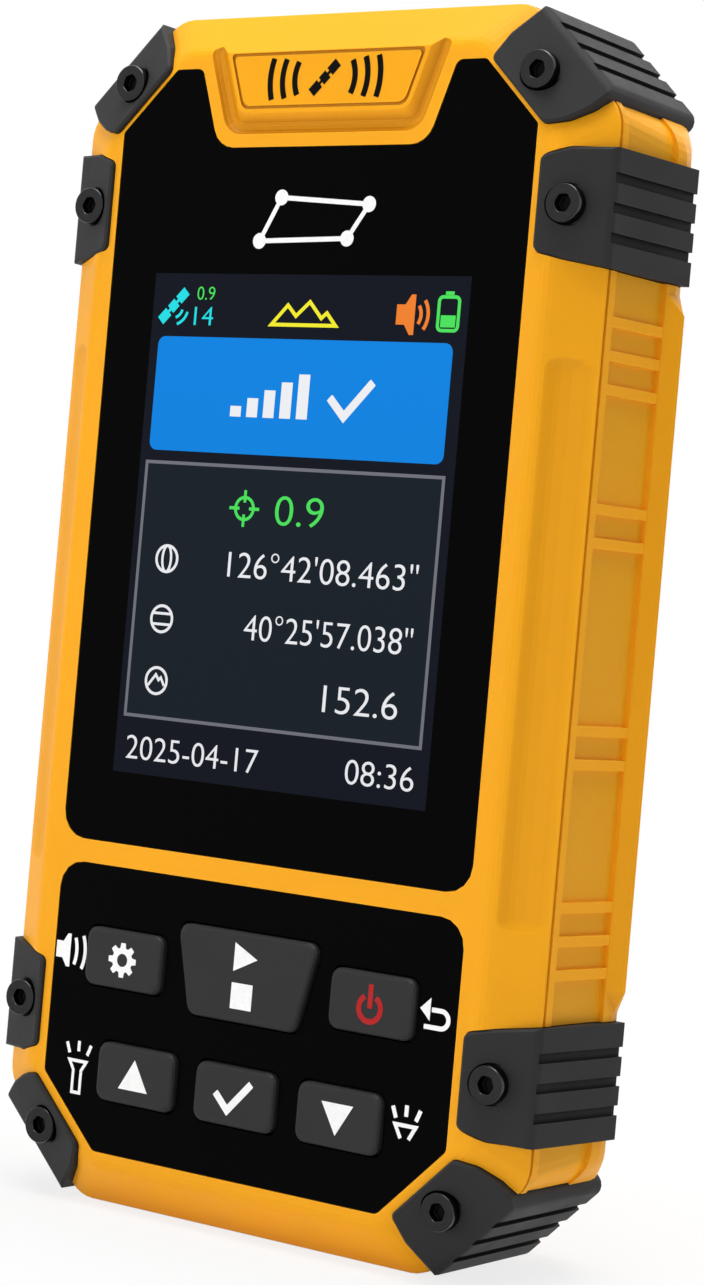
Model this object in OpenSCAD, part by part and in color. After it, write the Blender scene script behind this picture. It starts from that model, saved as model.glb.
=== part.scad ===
// Handheld satellite land area meter: a chamfered three-part housing with eight
// screwed bumper guards, a screen lens, a six-key pad and the works inside.
// X is to the right, Y runs from the front to the back, Z is up from the bottom end.

/* [Housing] */
// Height of the housing, end to end
body_h = 138; // [134:1:160]
// Width of the front shell at its parting edge
body_w = 72.5; // [71:0.5:86]
// Depth from the front face to the back face
body_d = 26; // [25:0.5:34]
// Corner cut of the outline, measured along each side
corner_cut = 12; // [11:0.05:13]
// Rounding of the outline's eight corners
corner_round = 4.5; // [2:0.1:5]
// Width of the slanted facet along the long sides
facet_side = 5.5; // [4.8:0.1:6.2]
// Width of the slanted facet along the two ends
facet_end = 4.85; // [4.2:0.05:5.4]
// Width of the slanted facet across the cut corners
facet_corner = 6.4; // [5.6:0.1:7]
// Depth of the slanted facet, from the front face to the parting edge
facet_d = 3.9; // [3.7:0.1:4.4]
// Softening of the edge between the front face and the facet, as a share of the facet
facet_soft = 0.14; // [0.05:0.01:0.25]
// Depth of the ribbed middle band
band_d = 10.5; // [10:0.1:12]
// How far the middle band lies below the shells beside it
band_recess = 0.6; // [0.3:0.05:0.8]
// Width of the fine groove between the front shell and the band
shadow_w = 0.45; // [0.2:0.05:0.6]
// Depth of that groove below the band
shadow_d = 0.5; // [0.2:0.05:0.7]
// Depth of the band's raised rim behind the groove
rim_d = 1; // [0.6:0.05:1.4]
// How far the rim and the ribs lie below the shells beside the band
rib_recess = 0.1; // [0:0.05:0.2]
// Outward lean of the long sides, in degrees
side_lean = 6.5; // [4:0.1:8]
// Thickness of the back wall
back_wall = 2.2; // [1.8:0.1:2.6]
// Thickness of the web under the lens
web_t = 1.45; // [1.2:0.05:1.7]
// Wall at the two ends of the housing
end_wall = 5.8; // [5.4:0.1:6.4]

/* [Side ribs and grips] */
// Height of one rib on the middle band
rib_h = 1.15; // [0.8:0.05:1.6]
// Spacing of the ribs in a group
rib_pitch = 3.6; // [3:0.1:4.2]
// Distance from a side guard's screw to the middle of the nearest rib group
rib_far = 15.4; // [14:0.1:18]
// Distance of the inner rib groups from their common middle
rib_near = 11.8; // [8:0.1:13]
// How far above mid height the common middle of the inner rib groups lies
rib_near_up = 1.3; // [0:0.1:2]
// Distance from a side guard's screw to the end of the thumb scoop
scoop_clear = 15.7; // [9:0.1:24]
// Depth of the thumb scoop at its inner edge
scoop_d = 0.45; // [0.2:0.05:0.6]
// Length of the scoop's soft ends and of the soft wall at its inner edge
scoop_soft = 1.7; // [1:0.1:2.4]
// Distance from a side guard's screw to the start of the hand grip's taper
grip_clear = 9.8; // [9.5:0.1:16]
// Length of the hand grip's taper
grip_taper = 2.5; // [1.5:0.1:3]
// How far the hand grip swells out
grip_out = 1.15; // [0.5:0.05:1.5]

/* [Guards] */
// Plan width of a guard, from its inner edge to its outer wall
guard_w = 7.5; // [7.3:0.1:7.8]
// Half length of a guard at its inner edge
guard_half_in = 5.1; // [4.6:0.1:5.6]
// Half length of a guard at its outer wall
guard_half_out = 6.4; // [6:0.1:7]
// How far a side guard stands out from the parting edge
guard_proud_side = 0.4; // [0.2:0.05:0.8]
// How far a corner guard stands out from the cut corner
guard_proud_corner = 1.05; // [0.8:0.05:1.4]
// How far the corner guards sit from the corner's middle, towards the ends
corner_guard_shift = 0.3; // [0:0.05:0.5]
// How much longer a corner guard is at its end nearer to the side guard
corner_guard_extra = 0.6; // [0:0.05:0.8]
// How far a guard's inner edge stands above the front face
guard_lift = 0.7; // [0.4:0.05:0.9]
// Fall of a guard's front face, from its inner edge to its outer edge
guard_fall = 3.35; // [3:0.05:3.6]
// Thickness of a guard's front flange, along the depth
guard_flange = 1.65; // [1.5:0.05:1.8]
// Thickness of a guard's outer wall
guard_wall = 2; // [1.7:0.05:2.1]
// Length of the outer wall of a side guard
side_guard_d = 15; // [13:0.1:16]
// Length of the outer wall of a corner guard
corner_guard_d = 18.7; // [16:0.1:19]
// Distance of the side guards' screws from the nearer end of the housing
side_guard_end = 22.4; // [21:0.1:24]
// Rounding between a guard's front face and its outer wall
guard_edge_r = 1.5; // [0.8:0.1:2]
// Bevel around a guard's front face
guard_bevel = 0.3; // [0.2:0.05:0.6]
// Width of a groove on a guard's wall
groove_w = 1.1; // [0.6:0.05:1.3]
// Depth of a groove on a guard's wall
groove_d = 0.4; // [0.2:0.05:0.8]
// Spacing of the grooves
groove_pitch = 3.2; // [2.8:0.1:3.6]

/* [Guard screws] */
// Distance of a screw from its guard's inner edge
screw_in = 3.15; // [2.9:0.05:3.3]
// Thread size of the guard screws
screw_d = 2.5; // [2:0.1:2.6]
// Head diameter
screw_head_d = 4.2; // [3.8:0.1:4.6]
// Head height
screw_head_h = 1.6; // [1.3:0.1:1.7]
// How far the head's face stands above the front face
screw_lift = 0.5; // [0.4:0.05:0.7]
// Size of the hex socket across its flats
screw_socket = 1.8; // [1.5:0.1:2]
// Depth of the hex socket
screw_socket_d = 1; // [0.6:0.1:1.2]
// Outer diameter of the threaded inserts
insert_d = 3.5; // [3.2:0.05:3.7]
// Length of the threaded inserts
insert_len = 5; // [4:0.1:5.6]

/* [Screen] */
// Width of the screen's picture
picture_w = 43.2; // [36:0.1:46]
// Height of the picture
picture_h = 57.6; // [48:0.1:60]
// Share of the lens's free height that lies below the picture
picture_low = 0.363; // [0.3:0.001:0.5]
// Border of the window in the web, around the picture
window_border = 1.1; // [0.6:0.05:1.4]
// Border of the screen's glass panel beside the picture
panel_border = 2.9; // [2.4:0.05:3.4]
// Border of the panel below the picture, for its driver
panel_foot = 7; // [6:0.1:7.5]
// Distance from the housing's parting edge to the lens's side
lens_margin_side = 8.125; // [7.9:0.005:9]
// Distance from the housing's end to the lens's top edge
lens_margin_end = 6.8; // [6.5:0.05:7.5]
// Size of the lens's cut top corners
lens_cut = 7.1; // [6.8:0.05:8]
// Thickness of the lens
lens_t = 1; // [0.8:0.05:1.2]
// Thickness of the lens's adhesive tape
tape_t = 0.15; // [0.1:0.01:0.25]
// Rounding of the lens's and key overlay's plain corners
overlay_round = 3.2; // [2:0.1:5]
// Bridge of the front shell between the lens and the key overlay
overlay_bridge = 2.85; // [2:0.05:3.5]

/* [Antenna boss] */
// Length of the lens's top edge on each side of the boss's notch
lens_shoulder = 3.6; // [3:0.05:5]
// How much narrower each side of the notch is at its foot
notch_lean = 3.1; // [2:0.05:4]
// Depth of the notch, down from the lens's top edge
notch_depth = 9.15; // [8:0.05:10]
// Flat border between the notch and the channel around the boss
boss_border = 1.6; // [1.2:0.05:1.8]
// Width of the channel around the boss
channel_w = 2.2; // [1.8:0.05:2.4]
// Depth of the channel
channel_d = 0.75; // [0.4:0.05:0.9]
// How far the channel's ends run up the end facet
channel_run = 0.9; // [0.4:0.05:1]
// Height of the boss above the front face
boss_rise = 0.2; // [0.1:0.05:0.4]
// Width of the engraved line on the boss
engrave_w = 0.35; // [0.2:0.05:0.5]
// Depth of the engraved line
engrave_d = 0.3; // [0.1:0.05:0.4]
// Distance of the engraved line from the boss's edge
engrave_in = 0.6; // [0.4:0.05:0.8]

/* [Keys] */
// Width of a plain key
key_w = 11; // [9:0.1:12]
// Height of a plain key
key_h = 6.7; // [6:0.1:7.4]
// Space between the big key and the keys beside it
key_space_1 = 1.9; // [1.7:0.05:2.5]
// Space between the keys of the lower row
key_space_2 = 3.1; // [2:0.05:4]
// Space between the two rows
row_space = 6.2; // [4.8:0.1:6.4]
// Distance from the key overlay's bottom edge to the lower row
row_margin = 6.05; // [5.6:0.05:6.5]
// Half width of the big key at its top
big_key_top = 9.8; // [9:0.1:10.4]
// Half width of the big key at its foot
big_key_foot = 7.4; // [6.5:0.1:8]
// Height of the big key
big_key_h = 10.1; // [9:0.1:10.4]
// How far the big key sits above its row
big_key_up = 0.35; // [0:0.05:0.5]
// How far the keys stand above the overlay
key_proud = 0.8; // [0.5:0.05:0.9]
// Travel of a key
key_travel = 0.4; // [0.2:0.05:0.45]
// Rounding of a key's corners
key_round = 1.2; // [0.6:0.1:1.8]
// Bevel around a key's face
key_bevel = 0.4; // [0.2:0.05:0.5]
// Width of the retaining flange around a key
key_flange = 0.7; // [0.4:0.05:0.75]
// How much wider than the overlay's the front shell's key openings are, each way
key_well = 0.25; // [0.1:0.05:0.3]
// Thickness of the retaining flange
key_flange_t = 0.75; // [0.6:0.05:0.9]
// Radius of the stem that presses a switch
key_stem_r = 1.5; // [1:0.1:1.8]
// Thickness of the key overlay
overlay_t = 0.65; // [0.4:0.05:0.8]
// Distance from the housing's parting edge to the key overlay's side
overlay_margin_side = 8.4; // [8:0.05:9]
// Distance from the housing's end to the key overlay's bottom edge
overlay_margin_end = 6.5; // [6.2:0.05:7]
// Height of the key overlay
overlay_h = 32.65; // [31.5:0.05:34]
// Size of the key overlay's cut bottom corners
overlay_cut = 8.1; // [7.6:0.1:9]

/* [Inside] */
// Width of a gasket
gasket_w = 0.8; // [0.6:0.05:0.9]
// Height of a gasket
gasket_t = 0.8; // [0.6:0.05:1.2]
// Lip of the frame inside a gasket
gasket_in = 0.6; // [0.4:0.05:0.8]
// Wall between a gasket and the guard screws' holes
gasket_wall = 0.55; // [0.4:0.05:0.7]
// Thickness of the screen stack's front gasket
lcd_gasket_t = 0.4; // [0.2:0.05:0.5]
// Thickness of the screen's glass panel
lcd_panel_t = 1.3; // [1.1:0.05:1.5]
// Thickness of the backlight
backlight_t = 1.2; // [1:0.05:1.4]
// Thickness of the screen tray's floor
tray_floor = 0.8; // [0.6:0.05:1]
// Thickness of the screen tray's walls
tray_wall = 0.5; // [0.3:0.05:0.7]
// Thickness of the main board
board_t = 1.6; // [1:0.1:1.8]
// Thread size of the board's screws
board_screw_d = 1.6; // [1.4:0.1:1.8]
// Wall of a board post around its screw
post_wall = 0.55; // [0.4:0.05:0.7]
// Length of a board screw's thread below the board
board_screw_len = 2.4; // [1.8:0.1:2.6]
// Height of a board screw's head
board_screw_head = 1; // [0.6:0.1:1.4]
// Side of the main processor
chip_size = 12; // [8:0.5:13]
// Height of the chips above the board
chip_t = 1.2; // [0.8:0.1:1.6]
// Distance of the chips from the board's middle, each way
chip_off = 8; // [7:0.1:12]
// Width of the receiver's shield can
can_w = 16; // [12:0.5:20]
// Height of the can along the board
can_h = 12; // [8:0.5:14]
// Height of the can above the board
can_t = 2.4; // [1.6:0.1:3]
// Wall of the can
can_wall = 0.3; // [0.2:0.05:0.4]
// Distance from the board's top end to the can's middle
can_end = 18.8; // [16:0.1:22]
// Width of the battery's socket
socket_w = 8; // [6:0.1:10]
// Height of the socket along the board
socket_h = 5; // [4:0.1:6]
// Height of the socket above the board
socket_t = 4; // [3:0.1:5]
// Wall of the socket
socket_wall = 0.8; // [0.5:0.05:1]
// Distance of the socket's middle from the board's edge and from the battery's foot
socket_in = 8; // [6:0.1:10]
// Thickness of the seal sheet behind the keys
mat_t = 0.4; // [0.3:0.05:0.5]
// Side of a key switch
switch_size = 4.5; // [4:0.1:5.2]
// Height of a key switch's body
switch_t = 1; // [0.8:0.05:1.1]
// Battery size across
battery_w = 46; // [40:0.5:48]
// Battery size along the height
battery_h = 62; // [50:0.5:66]
// Battery thickness
battery_t = 8; // [6:0.1:9]
// Distance from the cavity's top end to the battery
battery_end = 12; // [10:0.1:16]
// Thickness of the pads behind the battery and the speaker
pad_t = 0.4; // [0.2:0.05:0.6]
// Speaker diameter
speaker_d = 30; // [24:0.5:32]
// Speaker height
speaker_t = 4.5; // [3.8:0.1:6]
// Distance of the speaker's middle from the bottom end
speaker_end = 24; // [23:0.1:26]
// Length of the longest speaker slot in the back wall
slot_len = 18; // [10:0.5:20]
// Width of a speaker slot
slot_w = 1.4; // [1:0.1:1.8]
// Spacing of the speaker slots
slot_pitch = 3; // [2.4:0.1:3.2]
// Diameter of the torch lens
torch_d = 6; // [5:0.1:6.4]
// Width of the torch lens's flange
torch_flange = 0.8; // [0.6:0.05:1]
// Thickness of the torch lens's flange
torch_flange_t = 1.2; // [0.8:0.05:1.6]

/* [Charging port] */
// Width of the port's metal shell
port_w = 8.94; // [8:0.01:9.4]
// Thickness of the port's metal shell
port_t = 3.16; // [3:0.01:3.4]
// Length of the port's metal shell
port_len = 7.3; // [6.5:0.1:8.5]
// Length of the rubber cover over the port
cover_len = 15; // [13:0.1:17]
// Width of the cover
cover_w = 6.6; // [6:0.1:7.2]
// Thickness of the cover
cover_t = 1.4; // [1.2:0.05:1.6]

/* [Clearances] */
// Gap around seated pieces such as the lens and the guards
seat_gap = 0.1; // [0.05:0.01:0.15]
// Gap around a sliding key
key_gap = 0.15; // [0.1:0.01:0.25]
// Gap under a piece that rests on another
rest_gap = 0.05; // [0.02:0.01:0.08]
// Radial gap of a screw in its clearance hole
screw_gap = 0.2; // [0.15:0.01:0.25]
// Gap around the board and the charging port
board_gap = 0.3; // [0.2:0.05:0.4]

/* [Hidden] */
$fn = 48;
eps = 0.01;
far = 60;
arc_steps = 4;
half_w = body_w / 2;
half_h = body_h / 2;
band_end = facet_d + band_d;
back_in = body_d - back_wall;
front_most = -max(boss_rise, guard_lift, key_proud, screw_lift);
mid_y = (front_most + body_d) / 2;
corner_face = (half_w + half_h - corner_cut) / sqrt(2);
corner_along = (half_h - half_w) / sqrt(2) + corner_guard_shift;
corner_in = corner_face + guard_proud_corner - guard_w;
side_in = half_w + guard_proud_side - guard_w;
side_guard_z = half_h - side_guard_end;
guard_edge_y = guard_fall - guard_lift;
guard_slope = guard_fall / guard_w;
screw_under = screw_head_h - screw_lift;
screw_end = band_end + insert_len + 0.2;
screw_hole = screw_d / 2 + screw_gap;
lens_floor = lens_t + tape_t;
web_back = lens_floor + web_t;
lens_half = half_w - lens_margin_side;
lens_top = half_h - lens_margin_end;
notch_foot = lens_top - notch_depth;
notch_half_top = lens_half - lens_cut - lens_shoulder;
notch_half_foot = notch_half_top - notch_lean;
overlay_half = half_w - overlay_margin_side;
overlay_bottom = overlay_margin_end - half_h;
overlay_top = overlay_bottom + overlay_h;
lens_bottom = overlay_top + overlay_bridge;
picture_z = lens_bottom + picture_low * (notch_foot - lens_bottom - picture_h) + picture_h / 2;
window_w = picture_w + 2 * window_border;
window_h = picture_h + 2 * window_border;
panel_w = picture_w + 2 * panel_border;
panel_top = picture_z + picture_h / 2 + panel_border;
panel_bottom = picture_z - picture_h / 2 - panel_foot;
panel_y = web_back + lcd_gasket_t;
backlight_y = panel_y + lcd_panel_t;
tray_y = backlight_y + backlight_t;
board_y = tray_y + tray_floor;
board_back = board_y + board_t;
wall_in = screw_in - screw_hole - gasket_wall - gasket_w - gasket_in;
cavity_half_w = side_in + wall_in;
cavity_half_h = half_h - end_wall;
cavity_corner = corner_in + wall_in;
board_half_w = cavity_half_w - board_gap;
board_half_h = cavity_half_h - board_gap;
key_row_2 = overlay_bottom + row_margin + key_h / 2;
key_row_1 = key_row_2 + key_h + row_space;
key_x_1 = big_key_top + key_space_1 + key_w / 2;
key_x_2 = key_w + key_space_2;
key_back = web_back + rest_gap;
mat_y = key_back + key_flange_t + key_travel + key_gap;
mat_half_w = key_x_1 + 4.5;
mat_top = overlay_top - 2.5;
mat_bottom = overlay_bottom + 1.4;
switch_nub = 0.3;
switch_top = board_y - switch_t - switch_nub;
stem_end = switch_top - key_travel - 0.1;
post_r = board_screw_d / 2 + post_wall;
post_off = tray_wall + seat_gap + post_r + 0.5;
post_x = cavity_half_w - post_r - 1.6;
foot_post_x = mat_half_w + post_r + 0.55;
foot_post_z = foot_post_x - (cavity_corner - post_r - 1.2) * sqrt(2);
posts = [[post_x, panel_top + post_off], [post_x, panel_bottom - post_off], [foot_post_x, foot_post_z]];
battery_foot = cavity_half_h - battery_end - battery_h;
battery_z = battery_foot + battery_h / 2;
speaker_z = speaker_end - half_h;
port_y = board_back + port_t / 2;
port_mouth = band_recess + cover_t + 0.6 - half_h;
cover_hinge_x = cover_len / 2 - cover_t / 2;
led_r = 1.5;
torch_y = board_back + led_r + seat_gap;
antenna_size = cavity_half_h - panel_top - 3.45;
antenna_z = (panel_top + cavity_half_h) / 2;
yellow = "#f5a61c";
charcoal = "#343434";
black = "#0b0b0d";
rubber = "#222222";

// Outlines: lists of [x, z] points from mid height, anticlockwise seen from the front

function unit(v) = v / norm(v);
function turn(p, v, q) = sign(cross(v - p, q - v));
function half_angle(p, v, q) = acos(unit(p - v) * unit(q - v)) / 2;

// The points of an arc that rounds corner v between its neighbours p and q
function corner_arc(p, v, q, r, steps) =
  let (half = half_angle(p, v, q),
       centre = v + unit(unit(p - v) + unit(q - v)) * r / sin(half),
       from = v + unit(p - v) * r / tan(half) - centre,
       first = atan2(from.y, from.x),
       sweep = turn(p, v, q) * (180 - 2 * half))
  [for (i = [0 : steps]) centre + r * [cos(first + sweep * i / steps), sin(first + sweep * i / steps)]];

// An outline with each corner rounded by its own radius
function rounded(points, radii, steps = arc_steps) =
  let (n = len(points))
  [for (i = [0 : n - 1])
    each corner_arc(points[(i + n - 1) % n], points[i], points[(i + 1) % n],
                    is_list(radii) ? radii[i] : radii, steps)];

// An outline with every edge moved in by d, or out where d is negative
function inset(points, d) =
  let (n = len(points))
  [for (i = [0 : n - 1])
    let (p = points[(i + n - 1) % n], v = points[i], q = points[(i + 1) % n])
    v + turn(p, v, q) * unit(unit(p - v) + unit(q - v)) * d / sin(half_angle(p, v, q))];

function rectangle(w, h, at = [0, 0]) =
  [for (c = [[-1, -1], [1, -1], [1, 1], [-1, 1]]) at + [c.x * w / 2, c.y * h / 2]];

// A slot of width w and height h with round ends
function stadium(w, h, at = [0, 0]) = rounded(rectangle(w, h, at), h / 2 - eps, 2 * arc_steps);

// A rectangle of half sizes w and h whose corners are cut at a distance from the centre
function cut_corner(w, h, face) =
  let (c = w + h - face * sqrt(2))
  [[w - c, -h], [w, c - h], [w, h - c], [w - c, h], [c - w, h], [-w, h - c], [-w, c - h], [c - w, -h]];

function housing_outline(w, h, face) = rounded(cut_corner(w, h, face), corner_round);

// The housing's outline on the facet: 0 at the parting edge, 1 at the front face
function facet_outline(f) =
  housing_outline(half_w - facet_side * f, half_h - facet_end * f, corner_face - facet_corner * f);

function cavity_outline(grow = 0) =
  housing_outline(cavity_half_w + grow, cavity_half_h + grow, cavity_corner + grow);

// Half width of the leaning long sides at depth y
function side_at(y) = half_w + (y - facet_d) * tan(side_lean);

// A point of a smooth bend from p to q that leaves and arrives along the lines to c
function bend(p, c, q, t) = (1 - t) * (1 - t) * p + 2 * t * (1 - t) * c + t * t * q;

lens_points = let (cut_z = lens_top - lens_cut, w = lens_half, foot = notch_half_foot)
  [[-w, lens_bottom], [w, lens_bottom], [w, cut_z], [w - lens_cut, lens_top],
   [notch_half_top, lens_top], [foot, notch_foot], [-foot, notch_foot],
   [-notch_half_top, lens_top], [lens_cut - w, lens_top], [-w, cut_z]];
lens_radii = [overlay_round, overlay_round, 0.6, 0.7, 1, 3, 3, 1, 0.7, 0.6];

overlay_points = let (w = overlay_half, cut_z = overlay_bottom + overlay_cut)
  [[overlay_cut - w, overlay_bottom], [w - overlay_cut, overlay_bottom], [w, cut_z],
   [w, overlay_top], [-w, overlay_top], [-w, cut_z]];
overlay_radii = [1, 1, 1, overlay_round, overlay_round, 1];

key_centres = [[-key_x_1, key_row_1], [0, key_row_1 + big_key_up], [key_x_1, key_row_1],
               [-key_x_2, key_row_2], [0, key_row_2], [key_x_2, key_row_2]];
big_key_points = [for (c = [[-big_key_foot, -1], [big_key_foot, -1], [big_key_top, 1], [-big_key_top, 1]])
  key_centres[1] + [c.x, c.y * big_key_h / 2]];
key_points = [for (i = [0 : 5]) i == 1 ? big_key_points : rectangle(key_w, key_h, key_centres[i])];

// Building blocks

// Puts a piece drawn from the front face and mid height into the part's frame
module placed() translate([0, -mid_y, half_h]) children();

// An outline as a plate from depth y0 to depth y1
module plate(points, y0, y1)
  translate([0, y1, 0]) rotate([90, 0, 0]) linear_extrude(y1 - y0) polygon(points);

// A section of [x, y] points drawn out along the height
module bar(points, z0, z1)
  translate([0, 0, z0]) linear_extrude(z1 - z0) polygon(points);

// A section of [y, z] points drawn out to both sides
module beam(points, half)
  rotate([90, 0, 90]) translate([0, 0, -half]) linear_extrude(2 * half) polygon(points);

// A solid through rings, each a depth and an outline of the same number of points;
// with a slope, the rings lie deeper towards the right
module loft(rings, slope = 0) {
  n = len(rings[0][1]);
  m = len(rings);
  points = [for (ring = rings) for (p = ring[1]) [p.x, ring[0] + slope * p.x, p.y]];
  sides = [for (k = [0 : m - 2]) for (i = [0 : n - 1])
    each let (a = k * n + i, b = k * n + (i + 1) % n) [[a, b, b + n], [a, b + n, a + n]]];
  front = [[for (i = [n - 1 : -1 : 0]) i]];
  back = [[for (i = [0 : n - 1]) (m - 1) * n + i]];
  polyhedron(points, concat(sides, front, back));
}

// A rod or hole along the depth
module rod(r, y0, y1, at = [0, 0])
  translate([at.x, y0, at.y]) rotate([-90, 0, 0]) cylinder(r = r, h = y1 - y0);

// A rod or hole along the height
module upright(r, z0, z1, at)
  translate([at.x, at.y, z0]) cylinder(r = r, h = z1 - z0);

module both_sides() for (m = [0, 1]) mirror([m, 0, 0]) children();

module all_quarters() both_sides() for (m = [0, 1]) mirror([0, 0, m]) children();

// From a guard's own frame, with x outward from its inner edge, to the upper right seats
module at_side_guard() translate([side_in, 0, side_guard_z]) children();
module at_corner_guard() rotate([0, -45, 0]) translate([corner_in, 0, corner_along]) children();

module at_each_screw() {
  all_quarters() at_side_guard() translate([screw_in, 0, 0]) children();
  all_quarters() at_corner_guard() translate([screw_in, 0, 0]) children();
}

module at_each_post() both_sides() for (p = posts) translate([p.x, 0, p.y]) children();

// Guards

// Seen from the front: a guard widens quickly from its inner edge, then hardly, but the edge of
// a side guard that faces mid height is nearly straight, and a corner guard's lower end is full
function guard_plan(grow, side) =
  let (mid_a = 3, mid = guard_half_out - 0.25, low = guard_half_out + corner_guard_extra,
       straight = guard_half_in + (guard_half_out - guard_half_in) * mid_a / guard_w + 0.15,
       lower = side ? [[mid_a, -straight], [guard_w, -guard_half_out], [far, -guard_half_out]] :
                      [[2, -guard_half_out], [4.4, -low], [far, -low]])
  rounded(inset(concat([[0, -guard_half_in]], lower,
                       [[far, guard_half_out], [guard_w, guard_half_out], [mid_a, mid], [0, guard_half_in]]),
                -grow), [0.9, 2, 2, 1, 1, 2, 2, 0.9]);

// Depth of a guard's seat below its flange, at distance a from its inner edge
function seat_y(a) = guard_flange - guard_lift + guard_slope * a;

function guard_section(wall_d, lean) =
  let (end_y = guard_edge_y + wall_d, in_a = guard_w - guard_wall, in_y = seat_y(in_a), k = tan(lean),
       brow = [0, -guard_lift], heel = [guard_w + wall_d * k, end_y])
  concat([brow], corner_arc(brow, [guard_w, guard_edge_y], heel, guard_edge_r, 2 * arc_steps),
         [heel, [in_a + (end_y - in_y) * k, end_y], [in_a, in_y], [0, seat_y(0)]]);

function pocket_section(wall_d, lean) =
  let (end_y = guard_edge_y + wall_d + seat_gap, in_a = guard_w - guard_wall - seat_gap,
       in_y = seat_y(in_a) + seat_gap, k = tan(lean))
  [[-1, -far], [far, -far], [far, end_y], [in_a + (end_y - in_y) * k, end_y], [in_a, in_y],
   [-1, seat_y(-1) + seat_gap]];

module guard_pocket(wall_d, lean, side) intersection() {
  bar(pocket_section(wall_d, lean), -far, far);
  plate(guard_plan(seat_gap, side), -far / 2, far);
}

// A guard without its grooves and holes, bevelled all round its sloping front face;
// the outer edges of a corner guard's ends are rounded
module guard_blank(wall_d, lean, side) intersection() {
  over = 0.2;
  edge_z = guard_half_out + corner_guard_extra + 0.02;
  edge_a = guard_w + (side ? far : 0.03);
  bar(guard_section(wall_d, lean), -far, far);
  loft([[-guard_lift - over, guard_plan(-guard_bevel - over, side)],
        [guard_bevel - guard_lift, guard_plan(0, side)], [far, guard_plan(0, side)]], guard_slope);
  plate(rounded([[-1, -edge_z], [edge_a, -edge_z], [edge_a, edge_z], [-1, edge_z]], [0.2, 1.4, 1.4, 0.2]),
        -far / 2, far);
}

// A groove that starts at the guard's front edge and runs out at its rear end
module guard_groove(wall_d, lean) {
  lead = 0.2;
  start = guard_edge_y + lead;
  k = tan(lean);
  bar([[guard_w + lead * k, start], [guard_w + 1, start],
       [guard_w + wall_d * k + 1, start + wall_d], [guard_w + wall_d * k - groove_d, start + wall_d],
       [guard_w + lead * k - groove_d, start + groove_d]], -groove_w / 2, groove_w / 2);
}

module guard(wall_d, lean, side) color(charcoal) difference() {
  guard_blank(wall_d, lean, side);
  for (i = [-1 : 1]) translate([0, 0, i * groove_pitch]) guard_groove(wall_d, lean);
  rod(screw_head_d / 2 + screw_gap, -far, screw_under, [screw_in, 0]);
  rod(screw_hole, -far, far, [screw_in, 0]);
}

module in_quarter(right, upper) mirror([right ? 0 : 1, 0, 0]) mirror([0, 0, upper ? 0 : 1]) children();

module side_guard(right, upper) placed() in_quarter(right, upper)
  at_side_guard() guard(side_guard_d, side_lean, true);

module corner_guard(right, upper) placed() in_quarter(right, upper)
  at_corner_guard() guard(corner_guard_d, 0, false);

module upper_left_corner_guard() corner_guard(false, true);
module upper_right_corner_guard() corner_guard(true, true);
module lower_left_corner_guard() corner_guard(false, false);
module lower_right_corner_guard() corner_guard(true, false);
module upper_left_side_guard() side_guard(false, true);
module upper_right_side_guard() side_guard(true, true);
module lower_left_side_guard() side_guard(false, false);
module lower_right_side_guard() side_guard(true, false);

module guard_pockets() {
  all_quarters() at_side_guard() guard_pocket(side_guard_d, side_lean, true);
  all_quarters() at_corner_guard() guard_pocket(corner_guard_d, 0, false);
}

module screw_holes() at_each_screw() rod(screw_hole, -far, far);

// Front shell

module front_body() {
  edge = 0.15;
  loft(concat(
    [for (t = [0 : 1 / 3 : 1])
      let (p = bend([1 + facet_soft, 0], [1, 0], [1 - facet_soft, facet_soft * facet_d], t))
      [p.y, facet_outline(p.x)]],
    [[facet_d - edge, facet_outline(edge / facet_d)], [facet_d, facet_outline(edge / facet_d / 2)]]));
}

// An outline at a distance d inside the notch, up to a height
function boss_points(d, head_z) =
  let (lean = (notch_half_top - notch_half_foot) / notch_depth,
       foot_z = notch_foot + d, foot = notch_half_foot + lean * d - d * sqrt(1 + lean * lean),
       head = foot + lean * (head_z - foot_z))
  [[-foot, foot_z], [foot, foot_z], [head, head_z], [-head, head_z]];

// Height of the end facet's plane at depth y
function end_facet_z(y) = half_h + (y - facet_d) * facet_end / facet_d;

// The recess for the channel: a steep outer wall, a round foot and round upper corners
module boss_recess() {
  function head(share) = end_facet_z(0) + channel_run - share * channel_w / 2;
  function ring(share) =
    rounded(boss_points(boss_border + share * channel_w, head(share)), [2.6 - share, 2.6 - share, 0.9, 0.9]);
  loft([[-far, ring(0)], [0, ring(0)], [0.5 * channel_d, ring(0.08)],
        [0.9 * channel_d, ring(0.25)], [channel_d, ring(0.45)]]);
}

// The engraved line follows the boss's edges and its upper side lies along the end facet's edge
function engraved_outline(d) =
  let (top = end_facet_z(-boss_rise) - 0.1, p = boss_points(boss_border + channel_w + engrave_in, top))
  rounded(inset(p, d), [1.2, 1.2, 0.4, 0.4]);

// The boss's outline at a share of the channel's width, carried on past the end facet
function boss_ring(share) =
  rounded(boss_points(boss_border + share * channel_w, half_h + 2), [1.6, 1.6, 0.5, 0.5]);

// The boss stands in its recess, with a soft upper edge and a slanted wall
module antenna_boss() difference() {
  intersection() {
    loft([[-boss_rise, boss_ring(1.12)], [0.05 - boss_rise, boss_ring(1.04)],
          [0.2 - boss_rise, boss_ring(0.96)], [0.85 * channel_d, boss_ring(0.62)],
          [channel_d, boss_ring(0.5)], [channel_d + 0.5, boss_ring(0.5)]]);
    beam([[-far, 0], [-far, end_facet_z(-far)], [facet_d, half_h], [facet_d, 0]], far);
  }
  difference() {
    plate(engraved_outline(0), -far, engrave_d - boss_rise);
    plate(engraved_outline(engrave_w), -far, engrave_d - boss_rise + eps);
  }
}

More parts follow.
